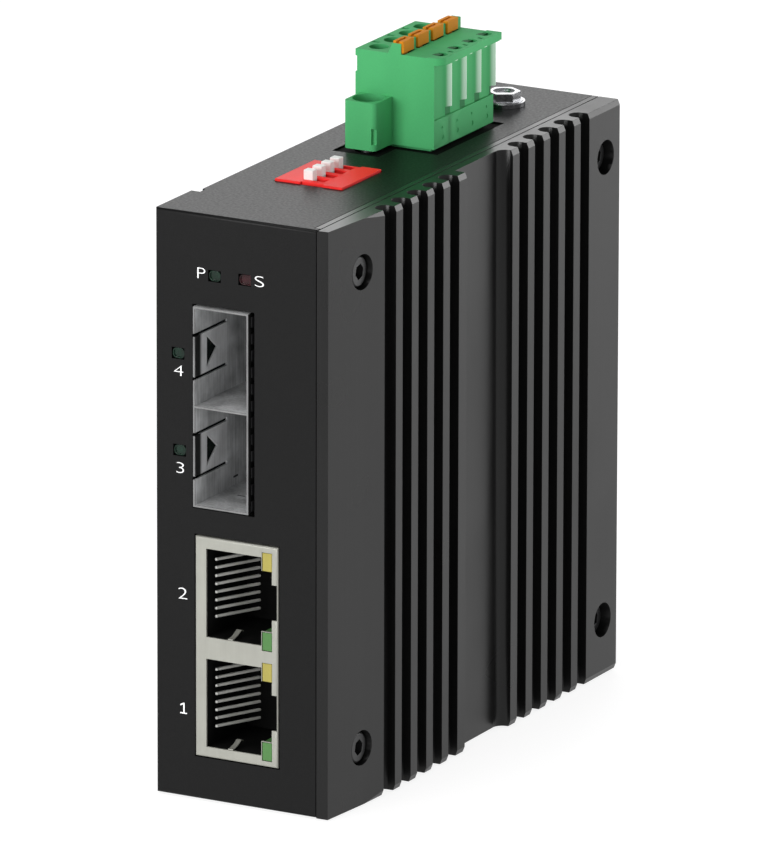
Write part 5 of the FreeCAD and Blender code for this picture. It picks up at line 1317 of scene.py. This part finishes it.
@dataclass
class EarthScrew:
    """Plated hexagon screw with a flange and a dished head."""

    bench: Bench
    seat: float = 85.0
    sides: int = 72
    flange_radius: float = 3.05
    flange: float = 0.7
    ring: float = 0.35
    ring_rise: float = 0.12
    flats: float = 4.2
    overlap: float = 0.05
    dome: float = 6.0
    dome_drop: float = 5.86
    dome_gap: float = 0.02
    dome_edge: float = 0.42
    dish: float = 0.35
    dish_wall: float = 0.55
    dish_sides: int = 64
    shank_radius: float = 1.5
    shank: float = 6.0
    shank_sides: int = 32
    edge: float = 0.08

    def build(self) -> None:
        """Turn the flange, cut the hexagon and dish its top."""
        bench = self.bench
        low, high = bench.node_box("earth_screw")
        x, y, top = (low.x + high.x) / 2, (low.y + high.y) / 2, high.z
        screw = bench.bar("earth_screw_head", self.flange_radius, self.flange,
                          (x, y, self.seat), Axis.Z, self.sides)
        bench.pick(screw, lambda m, n: n.z > ALONG)
        bench.inset(self.ring)
        bench.push((0, 0, self.ring_rise))
        radius = self.flats / math.sqrt(3)
        head = bench.bar("hexagon", radius, top - self.seat - self.flange + self.overlap,
                         (x, y, self.seat + self.flange - self.overlap), Axis.Z, 6)
        dome = bench.bar("dome", radius + self.dome_gap, self.dome, (x, y, top - self.dome_drop),
                         Axis.Z, self.sides)
        bench.pick(dome, lambda m, n: n.z > ALONG)
        bench.round_off(self.dome_edge, 3)
        bench.combine(head, dome, "INTERSECT")
        bowl = bench.bar("bowl", self.flats / 2 - self.dish_wall, 1.0, (x, y, top - self.dish),
                         Axis.Z, self.dish_sides)
        bench.combine(head, bowl, "DIFFERENCE")
        bench.combine(screw, head, "UNION")
        shank = bench.bar("shank", self.shank_radius, self.shank,
                          (x, y, self.seat - self.shank), Axis.Z, self.shank_sides)
        bench.combine(screw, shank, "UNION")
        bench.finish_edges(screw, self.edge, 3)
        bench.fit(screw, "housing", "chrome", "earth_screw")


@dataclass
class TerminalPlug:
    """Plug moulding in one skin with small dimples, and its release levers."""

    bench: Bench
    nodes: Dict[str, bpy.types.Object]
    poles: int = 4
    width: float = 12.6
    ear: float = 5.0
    edge: float = 0.12
    edge_angle: float = 35
    dimple_pitch: float = 4.4
    dimple_depth: float = 0.09
    dimple_sides: int = 20
    pin: float = 0.5
    dimple_rows: Tuple[Tuple[float, float, float], ...] = ((2.4, 88.06, 0.2), (2.6, 86.6, 0.34))
    cap: float = 1.73
    cap_edge: float = 0.07
    groove: Range = (0.5, 0.95)
    groove_depth: float = 0.35
    groove_end: float = 0.5
    stem: float = 1.2
    stem_overlap: float = 0.1

    def build(self) -> None:
        """Make the moulding and the levers."""
        self._moulding()
        for i in range(self.poles):
            self._lever(i + 1)

    def _moulding(self) -> None:
        """Join the one-pole slices into one skin and press the dimples in."""
        skin = self.bench.solid_copy(self.nodes["terminal_plug"], "plug_moulding")
        self.bench.pick(skin, lambda m, n: True)
        bpy.ops.mesh.separate(type="LOOSE")
        self.bench.clear()
        others = [o for o in bpy.context.scene.objects if o.name.startswith("plug_moulding.")]
        for other in others:
            self.bench.combine(skin, other, "UNION")
        self.bench.finish_edges(skin, self.edge, 2, self.edge_angle)
        low = self.bench.node_box("terminal_plug")[0]
        for start, z, radius in self.dimple_rows:
            for i in range(self.poles):
                place = (low.x + self.width - self.dimple_depth,
                         low.y + self.ear + start + i * self.dimple_pitch, z)
                pin = self.bench.bar("pin", radius, self.pin, place, Axis.X, self.dimple_sides)
                self.bench.combine(skin, pin, "DIFFERENCE")
        self.bench.even_out(skin, self.edge_angle)
        green = SLOT_FINISHES["plug_green"]
        ribbed = RibbedPlastic(green.colour, green.roughness, green.level,
                               corner=tuple(self.bench.corner))
        self.bench.fit(skin, "plug", "plug_green", "terminal_plug", look="plug_skin",
                       finish=ribbed)

    def _lever(self, number: int) -> None:
        """Model one lever: a cap with a groove along its top, on a stem.

        Args:
            number: Which lever, from the front.
        """
        node = f"release_lever_{number}"
        low, high = self.bench.node_box(node)
        under, middle, half = high.z - self.cap, (low.y + high.y) / 2, self.stem / 2
        cap = self.bench.block(f"lever_{number}_cap", (low.x, low.y, under), tuple(high))
        groove = self.bench.block(
            "groove", (low.x + self.groove[0], low.y - 1, high.z - self.groove_depth),
            (low.x + self.groove[1], high.y - self.groove_end, high.z + 1))
        self.bench.combine(cap, groove, "DIFFERENCE")
        stem = self.bench.block("stem", (low.x, middle - half, low.z),
                                (low.x + self.stem, middle + half, under + self.stem_overlap))
        self.bench.combine(cap, stem, "UNION")
        self.bench.finish_edges(cap, self.cap_edge)
        self.bench.fit(cap, f"lever_{number}", "lever_orange", node)


@dataclass
class LatchSpring:
    """Round wire spring of the rail latch, which the latch presses down."""

    bench: Bench
    wire: float = 0.4
    wire_sides: int = 12
    turns: int = 5
    steps: int = 32
    smooth: float = 50
    merge: float = 1e-7
    travel: float = 3.2

    def build(self) -> None:
        """Wind a wire section into a coil."""
        low, high = self.bench.node_box("latch_spring")
        x, y = (low.x + high.x) / 2, (low.y + high.y) / 2
        length = high.z - low.z
        coil = self._wind((high.x - low.x - self.wire) / 2, length - self.wire)
        coil.matrix_world = Matrix.Translation(self.bench.at(x, y, low.z + self.wire / 2))
        self.bench.settle()
        self._close(coil)
        self.bench.fit(coil, "housing", "spring_steel", "latch_spring")
        tuple(self.bench.at(x, y, low.z))
        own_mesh(coil)

    def _wind(self, radius: float, rise: float) -> bpy.types.Object:
        """Wind the wire.

        Args:
            radius: Radius of the coil's middle line.
            rise: Height that it climbs.

        Returns:
            The open coil, with its axis at the origin.
        """
        self.bench.clear()
        bpy.ops.mesh.primitive_circle_add(vertices=self.wire_sides, radius=self.wire / 2 * MM,
                                          fill_type="NOTHING")
        coil = bpy.context.object
        coil.name = coil.data.name = "latch_coil"
        coil.matrix_world = (Matrix.Translation(Vector((radius * MM, 0, 0)))
                             @ Matrix.Rotation(math.pi / 2, 4, "X"))
        self.bench.settle()
        wind = coil.modifiers.new("wind", "SCREW")
        wind.axis = "Z"
        wind.angle = 2 * math.pi
        wind.iterations = self.turns
        wind.screw_offset = rise / self.turns * MM
        wind.steps = wind.render_steps = self.steps
        wind.use_merge_vertices = True
        bpy.ops.object.modifier_apply(modifier="wind")
        return coil

    def _close(self, coil: bpy.types.Object) -> None:
        """Close the wire's ends, point its faces outwards and smooth it.

        Args:
            coil: The coil.
        """
        self.bench.pick(coil, lambda m, n: True)
        bpy.ops.mesh.remove_doubles(threshold=self.merge)
        bpy.ops.mesh.fill_holes(sides=self.wire_sides)
        bpy.ops.mesh.select_all(action="SELECT")
        bpy.ops.mesh.normals_make_consistent(inside=False)
        self.bench.take(coil)
        bpy.ops.object.shade_smooth_by_angle(angle=math.radians(self.smooth))


# ---------------------------------------------------------------- studio
@dataclass
class Lamp:
    """A soft rectangular light that points at the part, placed and sized in metres."""

    name: str
    place: Point
    size: Range
    power: float

    def build(self, target: Vector) -> None:
        """Hang the light and turn it to a place.

        Args:
            target: The place, in metres.
        """
        data = bpy.data.lights.new(self.name, "AREA")
        data.shape = "RECTANGLE"
        data.size, data.size_y = self.size
        data.energy = self.power
        lamp = bpy.data.objects.new(self.name, data)
        bpy.context.scene.collection.objects.link(lamp)
        lamp.location = self.place
        lamp.rotation_euler = (target - lamp.location).to_track_quat("-Z", "Y").to_euler()


@dataclass
class Studio:
    """White cove, soft lights and the camera.

    The camera's aim and distance are in millimetres, its angles in degrees, and the
    floor and the lit point in metres.
    """

    shelf: FinishShelf
    aim: Point = (6.374, -17.188, 50.075)
    turn: float = 28.4834
    height: float = 16.0535
    roll: float = 0.1304
    distance: float = 1928.6
    lens: float = 587.27
    sensor: float = 36
    clip: Range = (0.05, 100)
    floor_size: float = 30.0
    floor_drop: float = 0.0002
    sky: float = 1.0
    horizon: float = 1.0
    zenith: float = 0.22
    fade: Range = (0.3, 0.44)
    lit: Point = (0, 0, 0.05)
    lamps: Tuple[Lamp, ...] = (
        Lamp("front_box", (-0.3, -1.15, 0.35), (0.5, 0.5), 8.5),
        Lamp("back_left_box", (-0.46, 0.85, 0.33), (0.7, 0.36), 1.3),
        Lamp("back_right_box", (0.25, 0.42, 0.12), (0.25, 0.2), 0.8),
        Lamp("top_box", (-0.1, -0.25, 1.25), (0.6, 0.6), 5.5))

    def build(self) -> None:
        """Make the floor, the surroundings, the lights and the camera."""
        self._floor()
        self._surroundings()
        for lamp in self.lamps:
            lamp.build(Vector(self.lit))
        self._camera()
        LOG.info("studio ready with %d lights", len(self.lamps))

    def _floor(self) -> None:
        """A wide plain floor just under the part."""
        Bench.clear()
        bpy.ops.mesh.primitive_plane_add(size=self.floor_size, location=(0, 0, -self.floor_drop))
        floor = bpy.context.object
        floor.name = "floor"
        Bench.settle()
        self.shelf.dress(floor, "floor", Floor())

    def _surroundings(self) -> None:
        """White for the camera; as light, white all round and dimmer overhead."""
        world = bpy.data.worlds.new("cove")
        sheet = ShaderSheet(world)
        around = sheet.add("ShaderNodeTexCoord", {}, {}, "Generated")
        up = sheet.add("ShaderNodeSeparateXYZ", {}, {0: around}, Axis.Z.value)
        light = sheet.add("ShaderNodeMapRange", {}, {
            "Value": up, "From Min": self.fade[0], "From Max": self.fade[1],
            "To Min": self.horizon, "To Max": self.zenith})
        seen = sheet.add("ShaderNodeLightPath", {}, {}, "Is Camera Ray")
        strength = sheet.add("ShaderNodeMix", {"data_type": "FLOAT"}, {
            0: seen, VALUE_FIRST: light, VALUE_SECOND: self.sky})
        sky = sheet.add("ShaderNodeBackground", {}, {"Color": WHITE, "Strength": strength})
        sheet.add("ShaderNodeOutputWorld", {}, {"Surface": sky})
        bpy.context.scene.world = world
        bpy.context.scene.view_settings.view_transform = "Standard"

    def _camera(self) -> None:
        """The camera, a little above and to the right of the front."""
        yaw, pitch, roll = (math.radians(a) for a in (self.turn, self.height, self.roll))
        back = Vector((math.sin(yaw) * math.cos(pitch), -math.cos(yaw) * math.cos(pitch),
                       math.sin(pitch)))
        right = Vector((0, 0, 1)).cross(back).normalized()
        up = back.cross(right)
        turned_right = right * math.cos(roll) + up * math.sin(roll)
        turned_up = up * math.cos(roll) - right * math.sin(roll)
        data = bpy.data.cameras.new("camera")
        data.lens = self.lens
        data.sensor_width = self.sensor
        data.clip_start, data.clip_end = self.clip
        camera = bpy.data.objects.new("camera", data)
        bpy.context.scene.collection.objects.link(camera)
        axes = Matrix((turned_right, turned_up, back)).transposed()
        place = (Vector(self.aim) + back * self.distance) * MM
        camera.matrix_world = Matrix.Translation(place) @ axes.to_4x4()
        bpy.context.scene.camera = camera


def main() -> None:
    """Build and dress the part in order."""
    logging.basicConfig(level=logging.INFO, format="%(name)s: %(message)s")
    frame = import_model()
    nodes = frame["nodes"]
    shelf = FinishShelf()
    bench = Bench(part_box("main_shell")[0], shelf)
    solids = Solids(bench, nodes, frame["record"])
    solids.dress()
    solids.soften()
    for assembly in (FrontMarks(bench), LightWindows(bench), ContactWires(bench),
                     GroundTabs(bench), EarthScrew(bench), TerminalPlug(bench, nodes),
                     LatchSpring(bench), Studio(shelf)):
        assembly.build()


if __name__ == "__main__":
    main()
